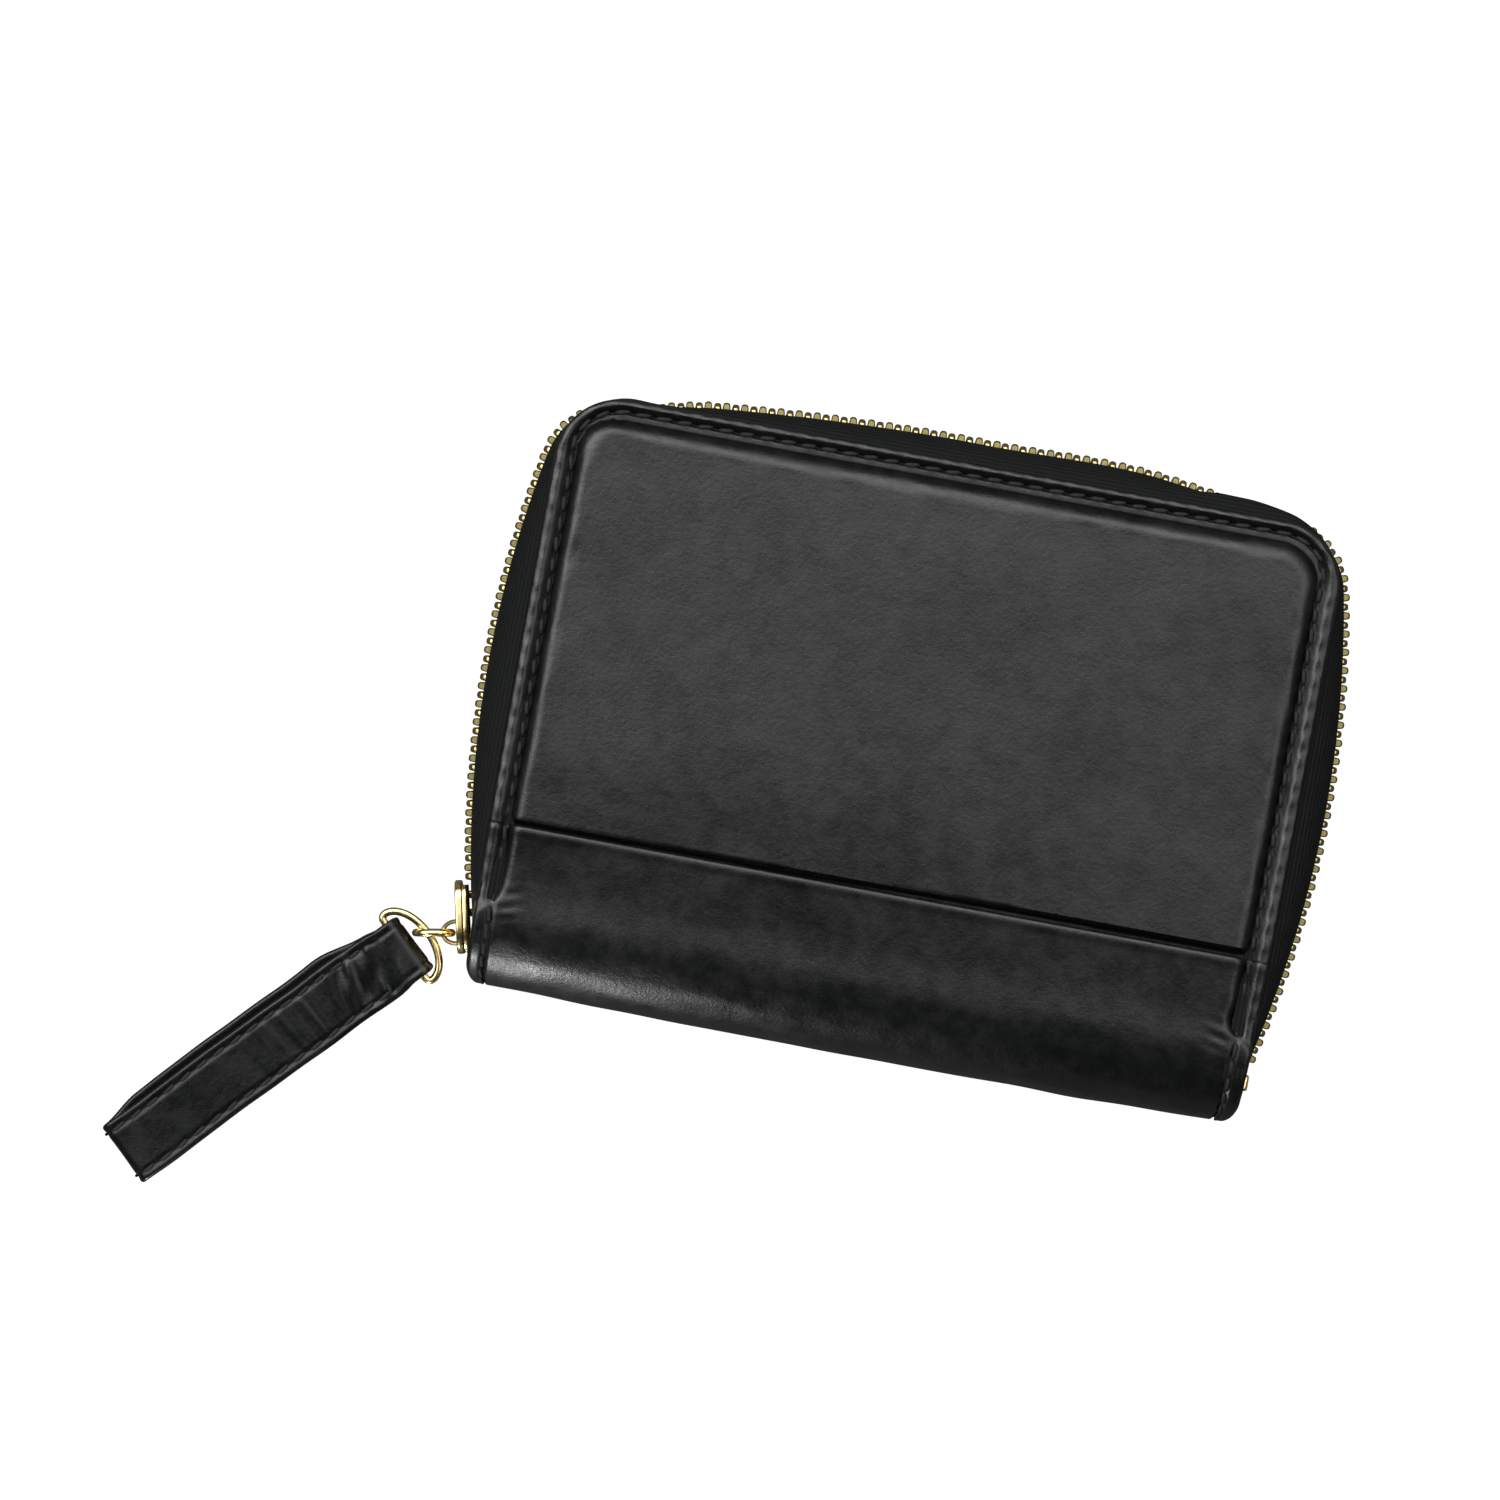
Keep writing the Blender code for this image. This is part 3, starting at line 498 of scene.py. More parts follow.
def cloth(name, colour):
    """Fine twill: diagonal ribs crossed by threads."""
    pitch, depth = 0.32, 0.05
    material, tree, shader, coords = start_material(name)
    split = node(tree, "ShaderNodeSeparateXYZ", None, Vector=coords)
    x, y = split.outputs["X"], split.outputs["Y"]
    ribs = wave(tree, calc(tree, "ADD", x, y), pitch * 1.6)
    threads = wave(tree, y, pitch)
    weave = calc(tree, "MULTIPLY_ADD", threads, 0.5, ribs)
    fuzz = noise(tree, coords, 6.0, 2.0)
    raise_bumps(tree, shader, (weave, depth * 0.4), (fuzz, depth * 0.5))
    shade = between(tree, weave, -1.2, 1.4, 0.0, 1.0)
    patches = between(tree, noise(tree, coords, 0.2), 0.2, 0.8, 0.7, 1.0)
    shade = calc(tree, "MULTIPLY", shade, patches)
    shade = tint(tree, shade, tuple(0.45 * value for value in colour), colour)
    feed(tree, shader, Base_Color=shade, Roughness=0.85, Sheen_Weight=0.15)
    return material


def tape_cloth(name):
    """Woven zip tape: ribs across the strip, with fine chevrons between them."""
    material, tree, shader, coords = start_material(name, "strip")
    split = node(tree, "ShaderNodeSeparateXYZ", None, Vector=coords)
    along, across = split.outputs["X"], split.outputs["Y"]
    ribs = wave(tree, across, 0.62)
    tilt = calc(tree, "PINGPONG", across, 0.31)
    weft = wave(tree, calc(tree, "MULTIPLY_ADD", tilt, 1.2, along), 0.42)
    weave = calc(tree, "MULTIPLY_ADD", weft, 0.6, ribs)
    raise_bumps(tree, shader, (weave, 0.035))
    shade = between(tree, weave, -1.4, 1.6, 0.0, 1.0)
    shade = tint(tree, shade, (0.0018, 0.002, 0.002), (0.006, 0.0065, 0.0065))
    feed(tree, shader, Base_Color=shade, Roughness=0.75, Specular_IOR_Level=0.12)
    return material


def thread(name):
    """Waxed black thread with a fine twist."""
    material, tree, shader, coords = start_material(name)
    twist = noise(tree, coords, 6.0, 1.0)
    raise_bumps(tree, shader, (twist, 0.06))
    colour = tint(tree, twist, (0.004, 0.004, 0.004), (0.012, 0.012, 0.012))
    feed(tree, shader, Base_Color=colour, Roughness=0.7, Specular_IOR_Level=0.25)
    return material


def gold(name, roughness=0.2, bright=(0.86, 0.69, 0.31), dull=(0.40, 0.28, 0.08)):
    """Polished pale gold plating with faint brushing, smudges and duller hollows."""
    material, tree, shader, coords = start_material(name)
    smudge = noise(tree, coords, 0.9, 3.0, 0.6)
    scratch = noise(tree, stretched(tree, coords, (2.0, 14.0, 2.0)), 2.0, 2.0)
    pointed = node(tree, "ShaderNodeNewGeometry").outputs["Pointiness"]
    hollow = between(tree, pointed, 0.40, 0.50, 1.0, 0.0)
    rough = between(tree, smudge, 0.3, 0.7, roughness - 0.05, roughness + 0.09)
    rough = calc(tree, "MULTIPLY_ADD", hollow, 0.15, rough)
    feed(tree, shader, Roughness=rough, Base_Color=tint(tree, hollow, bright, dull), Metallic=1.0)
    raise_bumps(tree, shader, (scratch, 0.004))
    return material


def foam(name):
    material, tree, shader, coords = start_material(name)
    pores = cells(tree, coords, 1.6)
    raise_bumps(tree, shader, (pores, 0.25))
    colour = tint(tree, pores, (0.42, 0.40, 0.32), (0.72, 0.70, 0.6))
    feed(tree, shader, Base_Color=colour, Roughness=0.95)
    return material


def fibre_board(name):
    material, tree, shader = blank_material(name)
    coords = node(tree, "ShaderNodeTexCoord").outputs["Object"]
    coords = stretched(tree, coords, (1000.0, 1000.0, 1000.0))
    fibres = noise(tree, stretched(tree, coords, (0.3, 2.5, 1.0)), 1.2, 4.0)
    specks = noise(tree, coords, 3.0, 2.0)
    raise_bumps(tree, shader, (fibres, 0.03))
    mixed = calc(tree, "MULTIPLY_ADD", specks, 0.4, calc(tree, "MULTIPLY", fibres, 0.6))
    colour = tint(tree, mixed, (0.22, 0.17, 0.12), (0.5, 0.42, 0.32))
    feed(tree, shader, Base_Color=colour, Roughness=0.9)
    return material


LEATHER = leather("black_leather")
# Painted shade: the band and spine use a copy of the cover leather with less shine, so they read
# darker
SHADED_BAND_LEATHER = leather("band_leather_shaded", 0.30, 0.011, 0.004, level=0.42)
# Painted shade: the strap uses a copy of the leather with much less shine, so it reads dark
SHADED_STRAP_LEATHER = leather("strap_leather", 0.24, 0.008, 0.003, level=0.30)
POCKET_LEATHER = leather("pocket_leather", 0.5, 0.008, 0.006, (0.010, 0.011, 0.011))
LINING = cloth("lining_twill", (0.030, 0.031, 0.034))
TAPE = tape_cloth("zip_tape_weave")
THREAD = thread("black_thread")
GOLD = gold("gold_hardware")
TEETH_GOLD = gold("gold_teeth", 0.26, (0.42, 0.34, 0.12), (0.12, 0.09, 0.025))


# ---------- stitches


def stitch_template(length, radius):
    """One stitch along x: a thread that dips into the leather at both ends."""
    share = np.array([-1.0, -0.86, -0.6, -0.3, 0.0, 0.3, 0.6, 0.86, 1.0])
    x = share * length / 2
    lift = radius * (0.75 - 1.6 * np.abs(share) ** 4)
    width = radius * (1 - 0.4 * np.abs(share) ** 5)
    turn = np.linspace(0, 2 * math.pi, 8, endpoint=False)
    rings = np.stack(
        [
            np.repeat(x[:, None], 8, 1),
            width[:, None] * np.cos(turn)[None],
            lift[:, None] + 0.8 * width[:, None] * np.sin(turn)[None],
        ],
        -1,
    )
    return capped(rings)


def stitch_row(centres, tangents, normals, length=2.35, radius=0.29, slant=6.0, seed=3):
    """(points, faces) of stitches at the given places."""
    rng = np.random.default_rng(seed)
    template = stitch_template(length, radius)
    parts = []
    for centre, tangent, normal in zip(centres, tangents, normals):
        side = unit(np.cross(normal, tangent))
        turn = math.radians(slant + rng.uniform(-3, 3))
        ahead = tangent * math.cos(turn) + side * math.sin(turn)
        sideways = np.cross(normal, ahead)
        scale = rng.uniform(0.94, 1.05)
        parts.append(moved(template, axes(ahead * scale, sideways, normal, centre)))
    return merged(parts)


# ---------- cover leather


SIDE_STEPS = 150
CORNER_STEPS = 26
TOP_STEPS = 220


def u_ring(inset, start, steps=(SIDE_STEPS, CORNER_STEPS, TOP_STEPS)):
    """Points up the left side, round the top and down the right side, at an inset."""
    side_steps, corner_steps, top_steps = steps
    inset = min(inset, HALF)
    radius = min(max(CORNER_R - inset, 3.0), HALF - inset)
    x, top = HALF - inset, HEIGHT - inset
    # The lowest part has the same heights in every ring, so the band's edge stays straight
    low_steps = side_steps // 6
    low = np.linspace(start, start + 7.5, low_steps + 1)
    high = np.linspace(low[-1], top - radius, side_steps - low_steps + 1)
    rise = np.concatenate((low[:-1], high))
    left = np.column_stack((np.full_like(rise, -x), rise))
    turn = np.radians(np.linspace(180, 90, corner_steps + 1))[1:]
    corner_x, corner_y = radius - x + radius * np.cos(turn), top - radius + radius * np.sin(turn)
    corner = np.column_stack((corner_x, corner_y))
    across = np.linspace(radius - x, x - radius, top_steps + 1)[1:-1]
    middle = np.column_stack((across, np.full_like(across, top)))
    half = np.concatenate((left, corner))
    mirrored = half[::-1] * np.array([-1, 1])
    return np.concatenate((half, middle, mirrored))


def droop(y):
    """How far the band and the leather under it sink towards the spine."""
    return 1.05 * smooth((27 - y) / 14) + 0.25 * smooth((19 - y) / 10)


def flare(y):
    """The leather is a little wider at the middle of its sides than at the spine."""
    return 1 + 0.010 * (1 - (1 - np.clip(y / 60, 0, 1)) ** 2)


def spread(x, y):
    """How wide the rim and channel are drawn: narrow at the top, widest on the right."""
    top = smooth((y - 73) / 8)
    return (1.0 + 0.10 * smooth((x + 20) / 40)) * (1 - top) + 0.72 * top


def stitch_line():
    """The stitched line round a cover, as points (x, y)."""
    near, far = u_ring(1.0, LOW_EDGE), u_ring(4.0, LOW_EDGE)
    share = (STITCH_INSET * spread(near[:, 0], near[:, 1]) - 1.0) / 3.0
    return near + (far - near) * share[:, None]


def side_profile(d):
    """Height of the rim and its stitched channel at (drawn) distance d from the edge."""
    roll = np.sqrt(1 - (1 - np.clip(d / 0.6, 0, 1)) ** 2)
    return 9.25 + 0.9 * roll - 0.14 * smooth((1.0 - d) / 0.5) - 0.95 * smooth((d - 1.1) / 1.6)


def ease(t):
    """Steep at t = 0, flattening out to 1 at t = 1."""
    return 1 - (1 - np.clip(t, 0.0, 1.0)) ** 3


def panel_height(x, y, along, seed):
    """Height of a cover's outer leather surface."""
    d = inside(x, y, -HALF, HALF, -200.0, HEIGHT, CORNER_R, CORNER_R) / spread(x, y)
    q = inside(x, y, -HALF + 2.95, HALF - 3.15, -200.0, HEIGHT - 3.0, 5.0, 5.6)
    soft = 2.3 + 0.4 * smooth((x + 45) / 30) + 0.5 * smooth((y - 66) / 14)
    band_gap = BAND_Y + 0.18 + 0.45 * smooth((x + 40) / 80)
    pad = ease(q / soft) * smooth((y - band_gap) / 0.75)
    height = side_profile(d) + 1.72 * pad
    stitched = 0.5 + 0.5 * np.cos(2 * math.pi * along / STITCH_PITCH)
    height = height - 0.12 * hump((d - STITCH_INSET) / 0.9) * stitched
    height = height + 0.07 * hump((d - 0.9) / 0.8) * (1 - 2 * stitched)
    height = height + 0.05 * hump((d - 1.0) / 1.4) * ripples(x, y, 9.0, seed)
    height = height + 0.03 * hump((d - 0.9) / 0.8) * ripples(x, y, 2.6, seed + 4)
    crown = np.clip(1 - (x / 52) ** 2, 0, 1) * np.clip(1 - ((y - 51) / 30) ** 2, 0, 1)
    sag = smooth((36 - y) / 14)
    sag = 0.62 * sag * (1 - 0.7 * smooth(x / 40))
    height = height + pad * (0.5 * crown + 0.045 * ripples(x, y, 24.0, seed + 1) - sag)
    puckered = 0.07 * hump((q - 1.6) / 1.6) * smooth((y - 26) / 4)
    height = height + puckered * ripples(x, y, 7.0, seed + 2)
    under = smooth((BAND_Y - 0.05 - y) / 0.35)
    return height - 0.38 * under * (1 - smooth((d - 1.2) / 1.0) * 0.6) - droop(y) * (1 - 0.7 * pad)


INSETS = np.concatenate(
    (
        [0.0, 0.04, 0.12, 0.24, 0.4, 0.6],
        np.arange(0.8, 7.0, 0.24),
        [7.3, 7.8, 8.6, 9.8, 11.4, 13.4, 16, 19],
        [22.5, 26.5, 30.5, 34.5, 38.5, 42.5, 46.5, 50.5, 55.0],
    )
)


def cover_leather(name, side, body, cad_node):
    along = lengths(stitch_line())
    rows = []
    for inset in INSETS:
        ring = u_ring(inset, LOW_EDGE)
        height = panel_height(ring[:, 0], ring[:, 1], along, RIPPLE_SEED[side])
        wide = ring[:, 0] * flare(ring[:, 1])
        rows.append(np.column_stack((wide, ring[:, 1], MID + side * height)))
    obj = skin(name, np.stack(rows), 0.8, LEATHER, weld=2e-6)
    dress(obj, "black_leather", body, cad_node)


def panel_stitches(name, side, body):
    ring = stitch_line()
    along = lengths(ring)
    hidden = BAND_Y + 0.9 - LOW_EDGE
    at = np.arange(math.ceil(hidden / STITCH_PITCH) + 0.5, 400) * STITCH_PITCH
    at = at[at < along[-1] - hidden]
    place = sampled(ring, along, at)
    ahead = sampled(ring, along, at + 0.3) - place
    x, y = place[:, 0], place[:, 1]
    height = panel_height(x, y, at, RIPPLE_SEED[side]) + 0.02
    centres = np.column_stack((x * flare(y), y, MID + side * height))
    tangents = unit(np.column_stack((ahead, np.zeros_like(x))))
    normals = np.tile([0.0, 0.0, float(side)], (len(at), 1))
    obj = piece(name, *stitch_row(centres, tangents, normals), THREAD)
    dress(obj, "black_leather", body)


# ---------- band and spine


FLAT = BAND_Y - SPINE_R
ARC = math.pi * SPINE_R
WRAP = 2 * FLAT + ARC


def wrap_path(s):
    """y, height and outward normal (y, z) along the band and round the spine."""
    turn = np.clip((s - FLAT) / SPINE_R, 0, math.pi)
    y = SPINE_R - SPINE_R * np.sin(turn)
    height = SPINE_R * np.cos(turn)
    y = y + np.clip(FLAT - s, 0, None) + np.clip(s - FLAT - ARC, 0, None)
    return y, height, -np.sin(turn), np.cos(turn)


def wrap_offset(x, s):
    """How far the band and spine leather stands from its plain wrap."""
    d = (HALF - np.abs(x)) / spread(x, 0)
    edge = np.minimum(s, WRAP - s)
    on_band = 1 - smooth((edge - 10.2) / 3.4)
    curl = smooth((edge - 8.6) / 4.2)
    pad_start = 2.9 * (1 - curl) + 0.2 * curl
    pad_start = pad_start + 0.25 * hump((edge - 8) / 8) * ripples(edge, x * 0.3, 5.0, 9)
    channel = side_profile(d) + 0.36 - SPINE_R
    pad = ease((d - pad_start) / 2.0)
    side = channel * (1 - pad)
    stitched = 0.5 + 0.5 * np.cos(2 * math.pi * edge / STITCH_PITCH)
    side = side - 0.14 * hump((d - STITCH_INSET) / 0.9) * stitched
    side = side + 0.05 * hump((d - 0.8) / 0.9) * (1 - 2 * stitched)
    roll = -0.75 * (1 - np.sqrt(1 - (1 - np.clip(d / 0.8, 0, 1)) ** 2))
    end = roll - 0.34 * hump((d - 2.35) / 0.75) - 0.1 * hump((d - 2.35) / 0.6) * stitched
    offset = on_band * side + (1 - on_band) * end
    pulled = 0.10 * hump((d - 4.6) / 2.6) * hump((edge - 11.0) / 4.5)
    offset = offset + pulled * np.sin(edge * 3.3 + d)
    lip = 1 - np.sqrt(1 - (1 - np.clip(edge / 0.5, 0, 1)) ** 2)
    offset = offset - 0.3 * lip + 0.10 * hump((edge - 0.8) / 0.9)
    offset = offset + 0.045 * ripples(x, s, 20.0, 5) * smooth(d / 6)
    roll_zone = smooth((edge - 12) / 5)
    offset = offset + 0.05 * roll_zone * ripples(x, s * 2.2, 11.0, 6)
    return offset


def wrap_point(x, s, sink=0.0):
    y, height, ny, nz = wrap_path(s)
    out = wrap_offset(x, s) - sink
    d = HALF - np.abs(x)
    # The spine's ends are rounded, its middle bows out, and the band slopes down to it
    pull = 1.1 * (1 - np.sqrt(1 - np.clip((1.6 - y) / 1.6, 0, 1) ** 2)) * smooth((4 - d) / 4)
    bow = (0.1 + 0.68 * (1 - ((x - 8) / 62) ** 2)) * np.clip(1 - y / SPINE_R, 0, 1) ** 1.5
    out = out - droop(y) * np.abs(nz)
    wide = x * flare(y) - np.sign(x) * pull
    return np.stack((wide, y - bow + ny * out, MID + height + nz * out), -1)


def wrap_normal(s):
    _, _, ny, nz = wrap_path(s)
    return np.stack((np.zeros_like(ny), ny, nz), -1)


def spine_leather():
    near = [0.0, 0.04, 0.12, 0.25, 0.42, 0.62, 0.85, 1.1, 1.35, 1.6, 1.85, 2.1, 2.35, 2.6]
    near += [2.85, 3.1, 3.35, 3.6, 3.9, 4.2, 4.5, 4.8, 5.15, 5.6, 6.2, 6.9, 7.7]
    near = np.array(near)
    middle = np.arange(-HALF + 8.6, HALF - 8.5, 0.9)
    x = np.concatenate((-HALF + near, middle, (HALF - near)[::-1]))
    edge = [0.0, 0.03, 0.09, 0.18, 0.3, 0.5, 0.75, 1.05, 1.4]
    run = np.arange(1.8, WRAP - 1.7, 0.42)
    s = np.concatenate((edge, run, WRAP - np.array(edge)[::-1]))
    grid_x, grid_s = np.meshgrid(x, s)
    grid = wrap_point(grid_x, grid_s)
    obj = skin("spine_leather", grid, 0.62, SHADED_BAND_LEATHER)
    dress(obj, "black_leather", None, "spine_cover", "front_band")
    return obj


def spine_stitches():
    parts = []
    for sign in (-1, 1):
        s = np.arange(0.5, 40) * STITCH_PITCH
        s = np.concatenate((s[s < WRAP / 2 - 0.5], WRAP - s[s < WRAP / 2 - 2.0]))
        inset = STITCH_INSET - 0.3 * smooth((np.minimum(s, WRAP - s) - 9) / 4)
        x = sign * (HALF - inset * spread(sign * HALF, 0))
        ahead = wrap_point(x, s + 0.3) - wrap_point(x, s - 0.3)
        normals = wrap_normal(s)
        centres = wrap_point(x, s) + 0.02 * normals
        parts.append(stitch_row(centres, unit(ahead), normals, seed=8 + sign))
    obj = piece("spine_stitching", *merged(parts), THREAD)
    return obj


def bend_with_spine(obj):
    """Bake the piece's placing into its mesh."""
    turn_between(obj, (0, 5, MID - 9.5), (0, 5, MID + 9.5))


# ---------- outer zip


def zip_arcs():
    """(centre, radius, start, end) in degrees, from the left end round to the right."""
    side = np.array([TRACK_SIDE_R - TRACK_SIDE_X, TRACK_SIDE_Y])
    top = np.array([0.0, TRACK_TOP_Y - TRACK_TOP_R])
    reach_side = TRACK_SIDE_R - TRACK_CORNER_R
    reach_top = TRACK_TOP_R - TRACK_CORNER_R
    gap = np.linalg.norm(side - top)
    along = (reach_top**2 - reach_side**2 + gap**2) / (2 * gap)
    across = math.sqrt(reach_top**2 - along**2)
    ahead = (side - top) / gap
    fillet = top + ahead * along + np.array([-ahead[1], ahead[0]]) * across
    low = 180 + math.degrees(math.asin((TRACK_SIDE_Y - TRACK_START_Y) / TRACK_SIDE_R))
    to_side = math.degrees(math.atan2(*(fillet - side)[::-1]))
    to_top = math.degrees(math.atan2(*(fillet - top)[::-1]))
    flip = np.array([-1, 1])
    return [
        (side, TRACK_SIDE_R, low, to_side),
        (fillet, TRACK_CORNER_R, to_side, to_top),
        (top, TRACK_TOP_R, to_top, 180 - to_top),
        (fillet * flip, TRACK_CORNER_R, 180 - to_top, 180 - to_side),
        (side * flip, TRACK_SIDE_R, 180 - to_side, 180 - low),
    ]


def track(steps):
    """Zip track points with their matching points on the leather's edge."""
    points, rims, inwards = [], [], []
    for part, (centre, radius, start, end) in enumerate(zip_arcs()):
        share = np.linspace(0, 1, steps[part] + 1)
        if part:
            share = share[1:]
        turn = np.radians(start + (end - start) * share)
        points.append(centre + radius * np.column_stack((np.cos(turn), np.sin(turn))))
        x, y = HALF, HEIGHT - CORNER_R
        if part in (0, 4):
            rise = share if part == 0 else 1 - share
            sign = -1 if part == 0 else 1
            rim_y = TRACK_START_Y + (y - TRACK_START_Y) * rise
            rim = np.column_stack((np.full_like(share, sign * x), rim_y))
            inward = np.tile([-sign, 0.0], (len(share), 1))
        elif part == 2:
            rim = np.column_stack(((x - CORNER_R) * (2 * share - 1), np.full_like(share, HEIGHT)))
            inward = np.tile([0.0, -1.0], (len(share), 1))
        else:
            turn = np.radians(180 - 90 * share if part == 1 else 90 - 90 * share)
            out = np.column_stack((np.cos(turn), np.sin(turn)))
            corner = np.array([-x + CORNER_R if part == 1 else x - CORNER_R, y])
            rim, inward = corner + CORNER_R * out, -out
        rims.append(rim)
        inwards.append(inward)
    points, rims, inwards = np.concatenate(points), np.concatenate(rims), np.concatenate(inwards)
    # The closed zip bulges most right of the middle of the top, least at its left corner
    x, y = points[:, 0], points[:, 1]
    points[:, 1] = y + (0.45 * hump(x / 48) + 1.05 * hump((x - 26) / 22)) * smooth((y - 78) / 3)
    corner = hump(np.hypot(x + 47, y - 82) / 13)
    return points + inwards * (1.3 * corner)[:, None], rims, inwards


TRACK_POINTS, TRACK_RIMS, TRACK_INWARDS = track((160, 40, 220, 40, 160))
TRACK_ALONG = lengths(TRACK_POINTS)


def along_at(y, left=True):
    """Distance along the zip where it crosses height y on the left or right side."""
    count = 161
    if left:
        return float(np.interp(y, TRACK_POINTS[:count, 1], TRACK_ALONG[:count]))
    return float(np.interp(y, TRACK_POINTS[-count:, 1][::-1], TRACK_ALONG[-count:][::-1]))


def track_at(distance):
    """Point, direction and outward direction of the zip at a distance from its left end."""
    at = distance + np.array([-0.4, 0.0, 0.4])
    behind, place, ahead = sampled(TRACK_POINTS, TRACK_ALONG, at)
    tangent = unit(ahead - behind)
    return place, tangent, np.array([-tangent[1], tangent[0]])


def tape_grid(side):
    """Tape from its tuck under the leather, out and down to the teeth."""
    rim_y = np.minimum(TRACK_POINTS[:, 1], TRACK_RIMS[:, 1])
    tail = np.sqrt(np.clip(9.7**2 - np.clip(SPINE_R - rim_y, 0, None) ** 2, 0.1, None))
    tail = np.minimum(tail, 8.95)
    inward = TRACK_INWARDS
    columns = [np.column_stack((TRACK_RIMS + inward * depth, tail)) for depth in (3.2, 2.2, 1.2)]
    exit_point = TRACK_RIMS + inward * 0.25
    reach = np.linalg.norm(TRACK_POINTS - exit_point, axis=1)
    pushed = exit_point - inward * (0.55 * reach)[:, None]
    bend = 4.3
    shoulder = bend + 0.45 * (tail - bend)
    right = hump((TRACK_POINTS[:, 0] - 42) / 13) * smooth((TRACK_POINTS[:, 1] - 78) / 3)
    for share in np.linspace(0, 1, 13):
        place = bezier(share, exit_point, pushed, TRACK_POINTS, TRACK_POINTS)
        height = bezier(share, tail, tail - 0.15, shoulder, bend)
        pucker = 0.07 * math.sin(math.pi * share) * ripples(TRACK_ALONG, share * 4, 5.5, 21 + side)
        pucker = pucker + 1.5 * math.sin(math.pi * min(1, share * 1.2)) ** 2 * right * (side > 0)
        columns.append(np.column_stack((place - inward * pucker[:, None], height)))
    for height in (3.4, 2.4, 1.8, 1.25):
        columns.append(np.column_stack((TRACK_POINTS, np.full(len(TRACK_POINTS), height))))
    grid = np.stack(columns, 1)
    grid[..., 2] = MID + side * grid[..., 2]
    return grid


def strip_place(grid):
    """Distance along and across a strip for each of its grid points."""
    along = np.repeat(lengths(grid[:, -1])[:, None], grid.shape[1], 1)
    steps = np.linalg.norm(np.diff(grid, axis=1), axis=2)
    across = np.concatenate((np.zeros((len(grid), 1)), np.cumsum(steps, 1)), 1)
    return np.stack((along, across, np.zeros_like(along)), -1)


def zip_tapes():
    back = tape_grid(-1)
    obj = skin("zip_tape_back_cloth", back, 0.45, TAPE, strip_place(back), offset=0.0)
    dress(obj, "woven_tape", "back_cover", "zip_tape_back")
    front = tape_grid(1)
    obj = skin("zip_tape_front_cloth", front, 0.45, TAPE, strip_place(front), offset=0.0)
    dress(obj, "woven_tape", None, "zip_tape_front", "zip_end_tape_left", "zip_end_tape_right")
    bend_with_tape(obj)


def bend_with_tape(obj):
    """Bake the piece's placing into its mesh."""
    turn_between(obj, (0, 3.5, MID + 3), (0, 14.8, MID + 3))


def tooth_template(width, depth, tip, root):
    """A metal tooth: clamp legs over the tape and a rounded head. x along, y out, z up."""
    table = [
        # height, half width share, half depth share
        (tip, 0.55, 0.42),
        (tip + 0.12, 0.82, 0.60),
        (tip + 0.35, 0.96, 0.70),
        (0.15, 1.0, 0.74),
        (0.45, 0.90, 0.80),
        (0.75, 0.92, 0.96),
        (1.05, 1.0, 1.0),
        (root - 0.55, 1.0, 1.0),
        (root - 0.2, 0.95, 0.95),
        (root, 0.72, 0.78),
    ]
    turn = np.linspace(0, 2 * math.pi, 16, endpoint=False)
    c, s = np.cos(turn), np.sin(turn)
    corner = (np.abs(c) ** 4 + np.abs(s) ** 4) ** -0.25
    rings = []
    for height, wide, deep in table:
        x, y = c * corner * wide * width / 2, s * corner * deep * depth / 2
        rings.append(np.column_stack((x, y, np.full(16, height))))
    return capped(np.stack(rings))


def tooth_row(first, last, side, template):
    parts = []
    distance = first
    while distance <= last:
        place, tangent, outward = track_at(distance)
        turned = axes([*tangent, 0.0], [*outward, 0.0], [0.0, 0.0, float(side)], [*place, MID])
        parts.append(moved(template, turned))
        distance += TOOTH_PITCH
    return merged(parts)


def zip_teeth():
    template = tooth_template(1.12, 2.45, -0.72, 3.05)
    # The rows start under the slider's middle, half a gap apart, and end at the stop
    first = along_at(SLIDER_Y) + 0.56
    back = tooth_row(first, along_at(7.4, False) - 0.6, -1, template)
    obj = piece("zip_teeth_back_row", *back, TEETH_GOLD)
    dress(obj, "brass_hardware", "back_cover", "zip_teeth_back")
    start = first + TOOTH_PITCH / 2
    start += TOOTH_PITCH * math.ceil((along_at(15.6) - start) / TOOTH_PITCH)
    front = tooth_row(start, along_at(8.2, False), 1, template)
    obj = piece("zip_teeth_front_row", *front, TEETH_GOLD)
    dress(obj, "brass_hardware", None, "zip_teeth_front")
    bend_with_tape(obj)


def zip_stop():
    low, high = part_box("zip_stop")
    low, high = from_frame(low), from_frame(high)
    parts = [block(low, high, 0.45)]
    middle = (low + high) / 2
    for sign in (-1, 1):
        z = middle[2] + sign * (high[2] - low[2]) * 0.28
        lip = np.array([(high[0] - low[0]) / 2 + 0.12, (high[1] - low[1]) / 2 - 0.1, 0.35])
        centre = np.array([middle[0], middle[1], z])
        parts.append(block(centre - lip, centre + lip, 0.2))
    obj = piece("zip_stop_metal", *merged(parts), GOLD)
    dress(obj, "brass_hardware", "back_cover", "zip_stop")


# ---------- sliders


def shield(length, width):
    """Outline of a slider plate as (along, across): broad shoulders, narrower tail."""
    half_l, half_w = length / 2, width / 2
    tail, nose = half_w * 0.86, 0.55
    corners = [
        (-half_l, -half_w * nose), (-half_l + 0.22 * length, -half_w), (0.05 * length, -half_w),
        (half_l, -tail), (half_l, tail), (0.05 * length, half_w),
        (-half_l + 0.22 * length, half_w), (-half_l, half_w * nose),
    ]
    return rounded(np.array(corners), 3)


